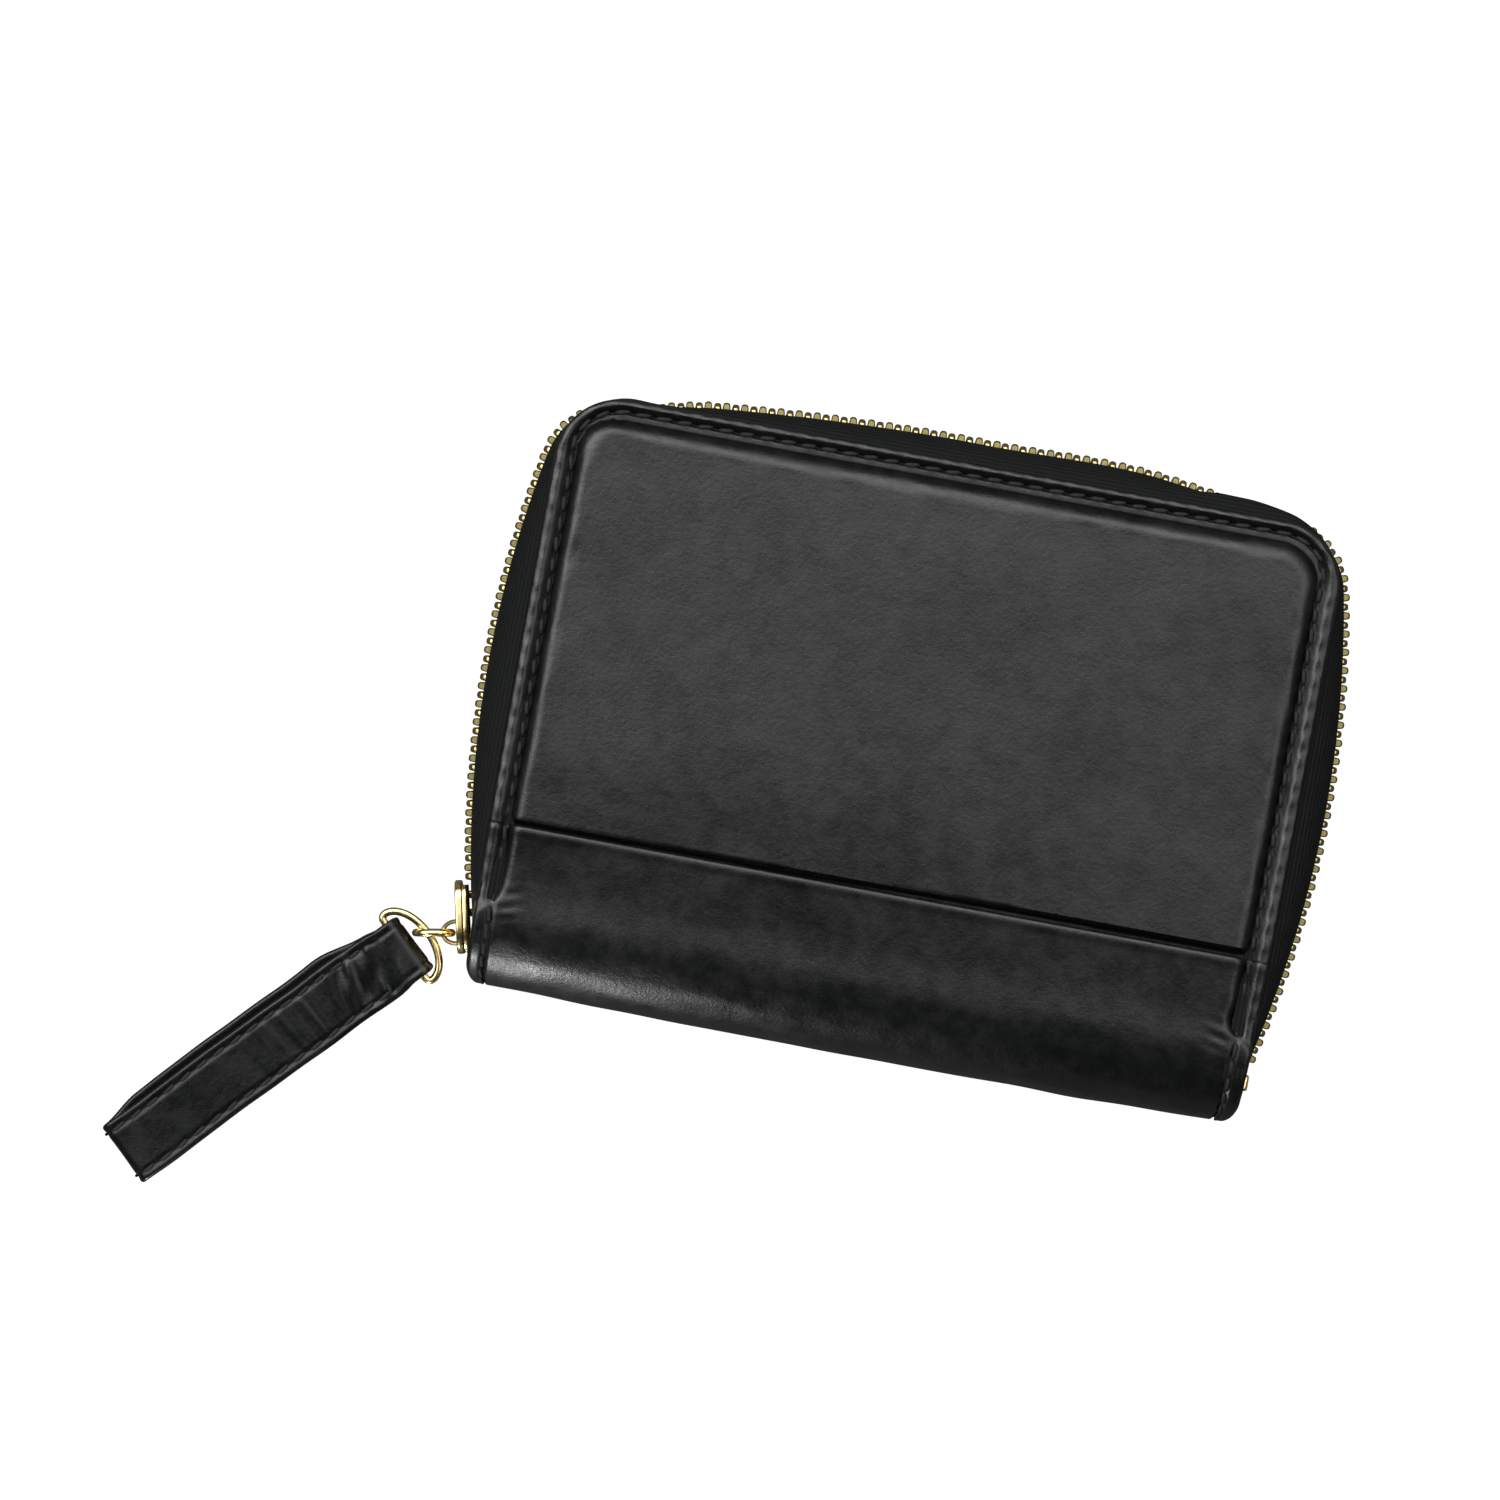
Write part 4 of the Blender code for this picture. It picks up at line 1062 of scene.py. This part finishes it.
def slider_parts(length, width, flange, neck, bridge):
    """(points, faces) of a slider in its own frame: x inwards, y along the zip, z through.

    neck is (start, end, half width) of the wedge between the plates. bridge is (start,
    end, hole height, thickness, width) of the loop on the outer plate.
    """
    cavity, plate_t, slot_gap = 2.8, 1.1, 1.3
    outline = shield(length, width)
    inner, outer = cavity / 2, cavity / 2 + plate_t
    parts = []
    for sign in (-1, 1):
        plate = slab(outline, [], plate_t / 2, 0.28)
        place = np.array([sign * (inner + outer) / 2, 0, 0])
        parts.append(moved(plate, axes([0, 1, 0], [0, 0, 1], [1, 0, 0], place)))
    # Flanges follow the plate's edge on both sides, leaving the slot for the tapes
    keep = np.abs(outline[:, 1]) > 0.62 * width / 2
    for sign in (-1, 1):
        for edge in (-1, 1):
            line = outline[keep & (np.sign(outline[:, 1]) == edge)]
            line = line[np.argsort(line[:, 0])]
            line = evened(line, 0.5)
            rings = []
            for a, b in line:
                low_x, high_x = sorted((sign * slot_gap / 2, sign * (inner + 0.2)))
                low_z, high_z = sorted((b - edge * flange, b - edge * 0.12))
                section = oblong(low_x, low_z, high_x, high_z)
                rings.append(np.insert(section, 1, a, axis=1))
            parts.append(capped(np.stack(rings)))
    start, end, half = neck
    reach = inner + plate_t / 2
    blunt, broad = half * 0.9, half * 1.25
    lens = [(start, -blunt), (end - 0.5, -broad), (end + 0.6, 0)]
    lens += [(end - 0.5, broad), (start, blunt)]
    wedge = slab(rounded(np.array(lens), 2), [], reach, 0.05)
    parts.append(moved(wedge, axes([0, 1, 0], [0, 0, 1], [1, 0, 0], np.zeros(3))))
    parts.append(bridge_part(outer, bridge))
    return merged(parts)


def bridge_part(outer, bridge):
    """Arched loop on the outer plate that the pull hangs from."""
    start, end, hole, thick, width = bridge
    half_t = thick / 2
    low, high = start + half_t, end - half_t
    top = outer + hole + half_t
    middle = (low + high) / 2
    turn = np.radians(np.linspace(180, 0, 15))
    reach = (high - low) / 2
    bow = min(reach, hole) + half_t
    arch = np.column_stack((middle + reach * np.cos(turn), top - bow + bow * np.sin(turn)))
    foot = outer - 0.25
    path = np.concatenate(([[low, foot]], arch, [[high, foot]]))
    path = evened(path, 0.25)
    tangent = unit(np.gradient(path, axis=0))
    normal = np.column_stack((-tangent[:, 1], tangent[:, 0]))
    rings = []
    for (along, out), (n_along, n_out) in zip(path, normal):
        lift = np.clip((out - outer) / (hole + thick), 0, 1)
        half_w = width / 2 * (1.15 - 0.15 * lift)
        section = oblong(-half_t, -half_w, half_t, half_w)
        x, y = -(out + n_out * section[:, 0]), along + n_along * section[:, 0]
        rings.append(np.column_stack((x, y, section[:, 1])))
    return capped(np.stack(rings))


def outer_slider():
    """The slider sits on the left side of the zip, near the spine."""
    pivot = joint_place("slider_travel")
    turn = math.asin((pivot[1] - SLIDER_Y) / SLIDER_REACH)
    x = np.array([math.cos(turn), math.sin(turn), 0])
    y = np.array([-math.sin(turn), math.cos(turn), 0])
    place = pivot - SLIDER_REACH * x
    neck, bridge = (-5.0, -2.7, 0.85), (-4.0, -0.3, 1.7, 0.6, 2.2)
    part = slider_parts(length=10.4, width=8.6, flange=1.0, neck=neck, bridge=bridge)
    obj = piece("slider_body", *moved(part, axes(x, y, [0, 0, 1], place)), GOLD)
    dress(obj, "brass_hardware", "slider", "slider")


# ---------- link, ring, strap


def joint_place(name):
    return from_frame(JOINTS[name]["pos_m"])


def pull_axes():
    """Along the strap, across it to its left, and up from it."""
    across = unit(JOINTS["strap_lift"]["axis"])
    flat = np.cross(across, [0, 0, 1.0])
    if np.dot(flat, joint_place("strap_lift") - joint_place("d_ring_lift")) < 0:
        flat = -flat
    fall = math.radians(9.0)
    along = flat * math.cos(fall) - np.array([0, 0, math.sin(fall)])
    return unit(along), across, np.cross(across, along)


def pull_link():
    pin, knot = joint_place("link_swing"), joint_place("d_ring_lift")
    ahead, up = unit(knot - pin), np.array([0, 0, 1.0])
    length, half = 5.1, 2.2
    turn = np.radians(np.linspace(-90, 90, 17))
    far = [(length - half + half * math.cos(t), half * math.sin(t)) for t in turn]
    near = [(half - half * math.cos(t), -half * math.sin(t)) for t in turn]
    path = np.array([pin + ahead * a + up * b for a, b in far + near])
    path = evened(path, 0.3, closed=True)
    obj = piece("pull_link", *wire(path, np.cross(ahead, up)), GOLD)
    dress(obj, "brass_hardware", "link_ring", "link_ring")


def pull_ring():
    along, across, up = pull_axes()
    knot = joint_place("d_ring_lift")
    wide, bow, deep = 5.75, 3.55, 4.1
    turn = np.radians(np.linspace(-90, 90, 60))
    centre = knot + along * bow
    arc = [centre - along * bow * math.cos(t) + across * wide * math.sin(t) for t in turn]
    bar = [knot + along * deep + across * wide * share for share in np.linspace(0.94, -0.94, 30)]
    path = rounded(evened(np.array(arc + bar), 0.5, closed=True), 2)
    path = evened(path, 0.3, closed=True)
    obj = piece("pull_d_ring", *wire(path, up), GOLD)
    dress(obj, "brass_hardware", "d_ring", "d_ring")


STRAP_LENGTH = 51.8
STRAP_WIDTH = 9.9
STRAP_T = 1.1


def strap_loop():
    """Closed middle line of the strap, as (along, height) from the bar, at even steps."""
    eye, slit = 0.8 + STRAP_T / 2, 0.35 + STRAP_T / 2
    end = STRAP_LENGTH - eye - STRAP_T / 2 - slit
    upper = [(1.6, eye), (3.0, eye * 0.6 + slit * 0.4), (4.6, slit)]
    upper += [(4.6 + (end - 4.6) * i / 24, slit) for i in range(1, 24)]
    far_turn = np.radians(np.linspace(90, -90, 13))
    near_turn = np.radians(np.linspace(-90, -270, 17))
    far = [(end + slit * math.cos(t), slit * math.sin(t)) for t in far_turn]
    lower = [(a, -h) for a, h in reversed(upper)]
    near = [(eye * math.cos(t), eye * math.sin(t)) for t in near_turn]
    return evened(np.array(upper + far + lower + near), 0.28, closed=True)


def strap_section():
    """Section across the strap as (across, out): rounded edges and stitched hollows."""
    half = STRAP_WIDTH / 2
    edge = 0.42
    rim = np.linspace(edge - half, 2.2 - half, 8)
    across = np.concatenate((rim, np.linspace(2.9 - half, half - 2.9, 9), -rim[::-1]))
    top = STRAP_T / 2 - 0.13 * hump((half - np.abs(across) - 1.3) / 0.6)
    turn = np.radians(np.linspace(0, 180, 9))[1:-1]
    right = np.column_stack((half - edge + edge * np.sin(turn), STRAP_T / 2 * np.cos(turn)))
    upper = np.column_stack((across, top))
    lower = upper[::-1] * np.array([1, -1])
    left = right[::-1] * np.array([-1, 1])
    return np.concatenate((upper, right, lower, left))


def strap_point(loop, along_axes, section):
    """Points of the strap for each place on the loop and each place on the section."""
    along, across, up = along_axes
    tangent = unit(np.roll(loop, -1, 0) - np.roll(loop, 1, 0))
    out = np.column_stack((-tangent[:, 1], tangent[:, 0]))
    a, h = loop[:, 0][:, None], loop[:, 1][:, None]
    on_top = smooth((h + 0.3) / 0.6)
    # The fold stays inside the ring's round side, and is full width right behind its bar
    in_ring = 5.75 * np.sqrt(1 - np.clip((-0.55 - a) / 3.55, 0, 0.9) ** 2) - 1.15
    half = in_ring + (STRAP_WIDTH / 2 - in_ring) * smooth((a - 1.6) / 2.4)
    narrow = half / (STRAP_WIDTH / 2)
    sideways = section[None, :, 0] * narrow
    slip = (1 - on_top) * 1.25 * smooth((a - 3) / 9) * smooth((STRAP_LENGTH - 1.0 - a) / 7)
    rise = section[None, :, 1]
    outer = smooth((rise + 0.2) / 0.4)
    wrinkle = hump((a - 7.0) / 8.0) * ripples(a * 3.2 + sideways * 0.9, sideways * 1.4, 8.0, 31)
    creases = smooth((a - 9) / 6) * smooth((31 - a) / 8) * ripples(a, sideways * 0.12, 1.25, 35)
    middle = smooth((3.9 - np.abs(sideways)) / 1.2)
    ridges = 0.21 * wrinkle + 0.045 * creases * middle
    ridges = ridges * outer * smooth((4.7 - np.abs(sideways)) / 1.6)
    soft = 0.05 * ripples(a, sideways, 12.0, 32) * outer
    bend = 0.5 * np.sin(math.pi * a / STRAP_LENGTH) * smooth(a / 6)
    lift = rise + ridges + soft
    place_a = a + out[:, 0][:, None] * lift
    place_h = h + out[:, 1][:, None] * lift
    edge_wave = 0.14 * ripples(a, h, 14.0, 33) * smooth(a / 8)
    place_c = sideways + slip + edge_wave
    return (
        place_a[..., None] * along + place_h[..., None] * up + place_c[..., None] * across
        + (0.25 * bend)[..., None] * across
    )


def strap():
    directions = pull_axes()
    origin = joint_place("strap_lift")
    loop, section = strap_loop(), strap_section()
    points = strap_point(loop, directions, section)
    faces = grid_faces(len(loop), len(section), True, True)
    obj = piece("strap_leather", origin + points.reshape(-1, 3), faces, SHADED_STRAP_LEATHER)
    dress(obj, "black_leather", "strap", "strap")
    strap_stitches(origin, directions, loop)


def strap_stitches(origin, directions, loop):
    along, across, _ = directions
    parts = []
    closed = np.concatenate((loop, loop[:1]))
    place = lengths(closed)
    at = np.arange(place[-1] // 3.0) * 3.0 + 1.5
    at = at[np.interp(at, place, closed[:, 0]) > 5.5]
    mid = origin + np.interp(at, place, closed[:, 0])[:, None] * along
    for edge in (-1, 1):
        spot = np.array([(edge * (STRAP_WIDTH / 2 - 1.3), STRAP_T / 2 - 0.1)])
        line = origin + strap_point(loop, directions, spot)[:, 0]
        line = np.concatenate((line, line[:1]))
        centres = sampled(line, place, at)
        tangents = unit(sampled(line, place, at + 0.3) - centres)
        # Each stitch faces away from the strap's middle plane
        normals = unit(np.cross(tangents, across))
        toward = centres - mid
        flip = np.sign(np.sum(normals * (toward - across * np.sum(toward * across, 1)[:, None]), 1))
        normals = normals * np.where(flip == 0, 1, flip)[:, None]
        parts.append(stitch_row(centres, tangents, normals, 2.2, 0.24, 5.0, 15 + edge))
    obj = piece("strap_stitching", *merged(parts), THREAD)
    dress(obj, "black_leather", "strap")


# ---------- interior


def lining(name, side, body, cad_node):
    """Cloth over the inside of a cover, turned outwards at its edge."""
    steps = (40, 8, 60)
    insets = np.array([3.0, 3.2, 3.6, 4.2, 5, 6.5, 9, 12, 16, 20, 25, 30, 35, 40, 45, 50, 55])
    rows = []
    for inset in insets:
        ring = u_ring(inset, 13.9, steps)
        x, y = ring[:, 0], ring[:, 1]
        height = 7.42 + 1.0 * (1 - smooth((inset - 3.0) / 1.3))
        height = height + 0.05 * ripples(x, y, 18.0, 51 + side)
        rows.append(np.column_stack((ring, MID + side * height)))
    obj = skin(name, np.stack(rows), 0.35, LINING, weld=2e-6, offset=0.0)
    dress(obj, "lining_cloth", body, cad_node)


SLOT_HALF = 47.0


def card_slot(name, cad_node, side, body, level):
    """Pocket sheet with a turned and stitched top edge and a slight bow."""
    top = 68.0 - 7.0 * level
    height = 7.2 - 1.25 * (level + 1) + 0.2
    radius = 2.0
    x = np.sin(np.linspace(-1, 1, 61) * math.pi / 2) * SLOT_HALF
    over = np.clip(np.abs(x) - (SLOT_HALF - radius), 0, radius)
    edge = top - radius + np.sqrt(np.clip(radius**2 - over**2, 0, None))
    rows = []
    for drop in (0, 0.1, 0.3, 0.8, 1.4, 1.7, 2.0, 2.3, 2.8, 4, 6, 9, 13, 18, 24, 30, 36, 60.0):
        y = np.maximum(edge - drop, 15.0 + 0.01 * (60 - drop))
        bow = 0.22 * smooth((y - 15) / 20) * (1 - (x / SLOT_HALF) ** 2) * (1 - smooth(drop / 30))
        hem = 0.16 * (1 - smooth((drop - 2.1) / 0.5)) - 0.12 * hump((drop - 1.6) / 0.35)
        level_here = height - bow * 0.6 - hem + 0.03 * ripples(x, y, 15.0, 60 + level)
        rows.append(np.column_stack((x, y, MID + side * level_here)))
    obj = skin(name, np.stack(rows), 0.34, POCKET_LEATHER, offset=0.0)
    dress(obj, "black_leather", body, cad_node)
    at = np.arange(-44.5, 45.0, 2.3)
    y = np.full_like(at, top - 1.6)
    bow = 0.22 * smooth((y - 15) / 20) * (1 - (at / SLOT_HALF) ** 2)
    heights = height - bow * 0.6 - 0.16 + 0.12 - 0.17 + 0.03 * ripples(at, y, 15.0, 60 + level)
    centres = np.column_stack((at, y, MID + side * heights))
    tangents = np.tile([1.0, 0, 0], (len(at), 1))
    normals = np.tile([0, 0, -float(side)], (len(at), 1))
    return stitch_row(centres, tangents, normals, 1.7, 0.17, 4.0, 70 + level)


def seam_path(half, top, side_end, foot_start, foot_steps):
    """Down the left side, round the corner, along the foot and up the right side."""
    radius, low = 2.5, 14.5
    left = [(-half, y) for y in np.linspace(top, side_end, 40)]
    turn = np.radians(np.linspace(180, 270, 8))[1:]
    x, y = -half + radius, low + radius
    corner = [(x + radius * math.cos(t), y + radius * math.sin(t)) for t in turn]
    foot = [(x, low) for x in np.linspace(foot_start, 0, foot_steps)]
    path = np.array(left + corner + foot)
    return np.concatenate((path, path[-2::-1] * np.array([-1, 1])))


def slot_binding(name, side, body):
    """Leather binding that closes the sides and foot of the card slots."""
    path = seam_path(47.5, 67.5, 17.5, -44.0, 20)
    tangent = unit(np.gradient(path, axis=0))
    normal = np.column_stack((-tangent[:, 1], tangent[:, 0]))
    rings = []
    for (x, y), (nx, ny) in zip(path, normal):
        low = 3.35 + 2.4 * smooth((y - 53.5) / 8) + 0.9 * smooth((y - 61) / 6)
        out, height = oblong(-0.55, low, 0.55, 7.15).T
        rings.append(np.column_stack((x + nx * out, y + ny * out, MID + side * height)))
    obj = piece(name, *capped(np.stack(rings)), POCKET_LEATHER)
    dress(obj, "black_leather", body)


def padding(name, side, body, cad_node):
    """Foam under the raised leather, crowned and rounded at its edge."""
    steps = (30, 6, 44)
    insets = (7.2, 7.0, 7.2, 7.8, 9.5, 14, 22, 32, 44, 55)
    heights = (9.02, 9.3, 9.75, 9.95, 10.02, 10.1, 10.16, 10.2, 10.2, 10.2)
    rows = []
    for inset, height in zip(insets, heights):
        ring = u_ring(inset, BAND_Y + 3.4, steps)
        low_part = 1 - smooth((ring[:, 1] - BAND_Y - 3.4) / 1.2)
        ring_height = height - (height - 9.02) * low_part
        rows.append(np.column_stack((ring, MID + side * ring_height)))
    foot = [np.column_stack((r[:, :2], np.full(len(r), MID + side * 9.0))) for r in rows[1:]]
    grid = np.stack(foot[::-1] + rows)
    obj = piece(name, grid, grid_faces(*grid.shape[:2]), foam(name), closed=False)
    tidy(obj, 2e-6, fill=True)
    dress(obj, "foam_padding", body, cad_node)


def spine_lining():
    """Cloth inside the spine, from one cover's lining round to the other's."""
    turn = np.radians(np.linspace(-90, 90, 60))
    radius = 9.35
    arc = np.column_stack((SPINE_R - radius * np.cos(turn), radius * np.sin(turn)))
    back = np.array([(13.9, -7.75), (13.2, -8.4), (12.2, -9.1)])
    front = back[::-1] * np.array([1, -1])
    path = np.concatenate((back, arc, front))
    x = np.linspace(-51.5, 51.5, 90)
    grid = np.zeros((len(path), len(x), 3))
    for i, (y, height) in enumerate(path):
        shift = 0.08 * ripples(x, np.full_like(x, i * 0.6), 14.0, 77)
        grid[i] = np.column_stack((x, y + shift, np.full_like(x, MID + height)))
    obj = skin("spine_lining_cloth", grid, 0.34, LINING, offset=0.0)
    dress(obj, "lining_cloth", None, "spine_lining")
    bend_with_spine(obj)


def gusset(end, sign):
    """Pleated cloth between the covers at one side."""
    across = np.linspace(-1, 1, 49)
    height = 7.3 * across
    pleat = np.abs(((across * 2.0 + 0.5) % 1.0) * 2 - 1)
    x = 49.15 + 1.9 * smooth(pleat)
    rows = []
    for share in np.linspace(0, 1, 30):
        top = 45.0 - 9.0 * (1 - across**2)
        y = 14.8 + (top - 14.8) * share
        open_x = x + 0.25 * share * ripples(height, y, 6.0, 80)
        rows.append(np.column_stack((sign * open_x, y, MID + height)))
    obj = skin(f"gusset_{end}", np.stack(rows), 0.3, LINING, offset=0.0)
    dress(obj, "lining_cloth", None, f"side_gusset_{end}")
    turn_between(obj, (sign * 50, 30, MID - 7), (sign * 50, 30, MID + 7))


# ---------- coin pouch


COIN_Y = 60.0
COIN_X = -36.0


def coin_pouch():
    """Soft flat bag, fuller in the middle, with a seam round its sides and foot."""
    half, low, high = 46.0, 14.6, 57.0
    share = np.linspace(0, 1, 30)
    turn = np.linspace(0, 2 * math.pi, 96, endpoint=False)
    c, s = np.cos(turn), np.sin(turn)
    rows = []
    for t in share:
        y = low + (high - low) * t
        full = 0.35 + 0.65 * math.sqrt(1 - (1 - min(t / 0.22, 1)) ** 2)
        full = full * (1 - 0.06 * smooth((t - 0.7) / 0.3))
        x = half * np.sign(c) * np.abs(c) ** 0.45
        x = x * (1 - 0.03 * (1 - smooth(t / 0.08)))
        z = 3.1 * full * np.sign(s) * np.abs(s) ** 0.55
        wrinkle = 0.09 * ripples(x, y, 13.0, 90) + 0.05 * ripples(x * 0.6, y * 2, 7.0, 91)
        z = np.clip(z + wrinkle * np.sign(s) * np.abs(s) ** 0.5, -3.2, 3.2)
        rows.append(np.column_stack((x, np.full_like(x, y), MID + z)))
    grid = np.stack(rows)
    count, around = grid.shape[:2]
    points = np.concatenate((grid.reshape(-1, 3), [[0, low - 0.1, MID]]))
    faces = grid_faces(count, around, wrap_columns=True)
    faces += [(len(points) - 1, (j + 1) % around, j) for j in range(around)]
    obj = piece("coin_pouch_cloth", points, faces, LINING)
    solid = obj.modifiers.new("thickness", "SOLIDIFY")
    solid.thickness = 0.0004
    solid.offset = -1.0
    bake(obj)
    tidy(obj)
    dress(obj, "lining_cloth", "back_cover", "coin_pouch")
    pouch_piping()


def pouch_piping():
    """Narrow cord sewn into the pouch's side and foot seams."""
    path = seam_path(46.1, 56.7, 17.2, -42.8, 36)
    path = np.column_stack((path, np.full(len(path), MID)))
    rings = tube(path, 0.42, np.array([0, 0, 1.0]), False, 10)
    obj = piece("coin_pouch_piping", *capped(rings), POCKET_LEATHER)
    dress(obj, "black_leather", "back_cover")


def coin_tape(cover, side):
    x = np.linspace(-42, 42, 120)
    ys = (56.2, 57.2, 58.3, 59.2, 59.75, 59.98, 60.0, 60.0, 60.0)
    heights = (3.32, 3.5, 3.68, 3.66, 3.3, 2.7, 2.0, 1.5, 1.0)
    rows = []
    for y, height in zip(ys, heights):
        shift = 0.05 * ripples(x, height, 6.0, 95 + side) * (height > 2.5)
        rows.append(np.column_stack((x, y + shift, np.full_like(x, MID + side * height))))
    grid = np.stack(rows).transpose(1, 0, 2)
    obj = skin(f"coin_tape_{cover}", grid, 0.35, TAPE, strip_place(grid), offset=0.0)
    dress(obj, "woven_tape", "back_cover", f"coin_zip_tape_{cover}")


def coin_teeth(cover, side, first):
    template = tooth_template(0.94, 1.8, -0.5, 2.3)
    parts = []
    for x in np.arange(first, 38.0, 2.2):
        place = np.array([x, COIN_Y, MID])
        parts.append(moved(template, axes([1, 0, 0], [0, 1, 0], [0, 0, side], place)))
    obj = piece(f"coin_teeth_{cover}", *merged(parts), TEETH_GOLD)
    dress(obj, "brass_hardware", "back_cover", f"coin_zip_teeth_{cover}")


def coin_slider():
    neck, bridge = (-2.9, -1.2, 0.6), (-2.6, 1.4, 1.2, 0.7, 1.6)
    part = slider_parts(length=7.0, width=6.4, flange=0.8, neck=neck, bridge=bridge)
    matrix = axes([0, -1, 0], [1, 0, 0], [0, 0, 1], np.array([COIN_X, COIN_Y, MID]))
    obj = piece("coin_slider_body", *moved(part, matrix), GOLD)
    dress(obj, "brass_hardware", "coin_slider", "coin_zip_slider")


def coin_puller():
    """Flat tab with a slotted end that hooks under the slider's bridge."""
    pin = joint_place("coin_puller_swing")
    frame_turn = math.radians(-90 + 25)
    ahead = np.array([math.cos(frame_turn), math.sin(frame_turn), 0])
    side = np.array([-math.sin(frame_turn), math.cos(frame_turn), 0])
    edge = np.array([(-0.4, 1.55), (4.4, 1.7), (5.4, 1.25), (8.5, 1.6), (12.2, 1.7), (13.0, 0.9)])
    mirrored = edge[::-1] * np.array([1, -1])
    outline = rounded(np.concatenate((mirrored[-1:], edge, mirrored[:-1])), 3)
    slot = oblong(0.45, -1.0, 4.1, 1.0)
    turn = np.linspace(0, 2 * math.pi, 20, endpoint=False)
    eye = [(10.9 + 0.6 * math.cos(t), 0.6 * math.sin(t)) for t in turn]
    tab = slab(outline, [slot, eye], 0.4, 0.18)
    obj = piece("coin_pull_tab", *moved(tab, axes(ahead, [0, 0, 1], side, pin)), GOLD)
    dress(obj, "brass_hardware", "coin_puller", "coin_zip_puller")


# ---------- the wallet


def covers():
    for cover, side in COVERS:
        body = f"{cover}_cover"
        cover_leather(f"{cover}_leather", side, body, f"{cover}_panel")
        panel_stitches(f"{cover}_stitching", side, body)
        lining(f"{cover}_lining_cloth", side, body, f"{cover}_lining")
        padding(f"{cover}_foam", side, body, f"{cover}_padding")
        rows = []
        for level in range(3):
            names = f"{cover}_slot_{level + 1}", f"{cover}_card_slot_{level + 1}"
            rows.append(card_slot(*names, side, body, level))
        threads = piece(f"{cover}_slot_stitching", *merged(rows), THREAD)
        dress(threads, "black_leather", body)
        slot_binding(f"{cover}_slot_binding", side, body)
        board = frame["nodes"][f"{cover}_board"].data.materials
        board.clear()
        board.append(fibre_board(f"{cover}_fibre_board"))


def wallet():
    covers()
    for obj in (spine_leather(), spine_stitches()):
        bend_with_spine(obj)
    spine_lining()
    zip_tapes()
    zip_teeth()
    zip_stop()
    outer_slider()
    pull_link()
    pull_ring()
    strap()
    gusset("left", -1)
    gusset("right", 1)
    coin_pouch()
    for cover, side in COVERS:
        coin_tape(cover, side)
    for cover, side in COVERS:
        coin_teeth(cover, side, COIN_X + 1.0 + 0.55 * side)
    coin_slider()
    coin_puller()


# ---------- studio


def floor():
    """Pale light table: it glows a little, so that shadows stay faint."""
    material, tree, shader = blank_material("pale_floor")
    feed(tree, shader, Base_Color=(0.07, 0.07, 0.07, 1), Roughness=0.9, Specular_IOR_Level=0.1)
    seen = node(tree, "ShaderNodeLightPath").outputs["Is Camera Ray"]
    glowing = calc(tree, "MULTIPLY_ADD", seen, 1.0, 0.02)
    feed(tree, shader, Emission_Color=(1, 1, 1, 1), Emission_Strength=glowing)
    mesh = bpy.data.meshes.new("floor")
    reach = 1.5
    corners = [(-reach, -reach, 0), (reach, -reach, 0), (reach, reach, 0), (-reach, reach, 0)]
    mesh.from_pydata(corners, [], [(0, 1, 2, 3)])
    mesh.materials.append(material)
    obj = add("floor", mesh)
    obj.location.z = -0.0005


def glow(tree, direction, towards, inner, outer, strength):
    """Brightness of a soft light seen within an angle of one direction."""
    towards = Vector(towards).normalized()
    dot = {"operation": "DOT_PRODUCT"}
    facing = node(tree, "ShaderNodeVectorMath", dot, _0=direction, _1=towards).outputs["Value"]
    low, high = math.cos(math.radians(outer)), math.cos(math.radians(inner))
    return between(tree, facing, low, high, 0.0, strength)


def sky():
    """Soft boxes overhead, behind and at both sides. The front stays dark."""
    world = bpy.data.worlds.new("studio")
    bpy.context.scene.world = world
    world.use_nodes = True
    tree = world.node_tree
    direction = node(tree, "ShaderNodeTexCoord").outputs["Generated"]
    total = 0.04
    for towards, inner, outer, strength in (
        ((0.0, 0.454, 0.891), 18, 39, 1.0),
        ((0.05, 0.66, 0.75), 10, 30, 3.2),
        ((0.66, 0.1, 0.75), 10, 28, 2.6),
        ((-0.66, 0.1, 0.75), 10, 28, 5.0),
        ((-0.5, 0.48, 0.72), 10, 23, 5.0),
    ):
        total = calc(tree, "ADD", glow(tree, direction, towards, inner, outer, strength), total)
    feed(tree, tree.nodes["Background"], Strength=total, Color=(1, 1, 1, 1))


def low_lamp():
    """Strip light low at the front left. It gives the sheen along the spine."""
    data = bpy.data.lights.new("low_lamp", "AREA")
    data.shape = "RECTANGLE"
    data.size = 0.03
    data.size_y = 0.012
    data.energy = 0.19
    obj = add("low_lamp", data)
    obj.location = (-0.072, Y0 * 0.001 - 0.15, 0.024)
    aim = Vector((-0.044, Y0 * 0.001, 0.012)) - obj.location
    obj.rotation_euler = aim.to_track_quat("-Z", "Y").to_euler()


def camera():
    """Straight down on the closed wallet, which lies turned by ten degrees."""
    data = bpy.data.cameras.new("camera")
    data.lens = 206.6
    data.sensor_width = 36
    obj = add("camera", data)
    obj.location = (-0.0213, (39.0 + Y0) * 0.001, 1.221)
    obj.rotation_euler = (0, 0, math.atan2(0.1805, 0.9836))
    bpy.context.scene.camera = obj


wallet()
floor()
sky()
low_lamp()
camera()
bpy.context.scene.view_settings.view_transform = "Standard"
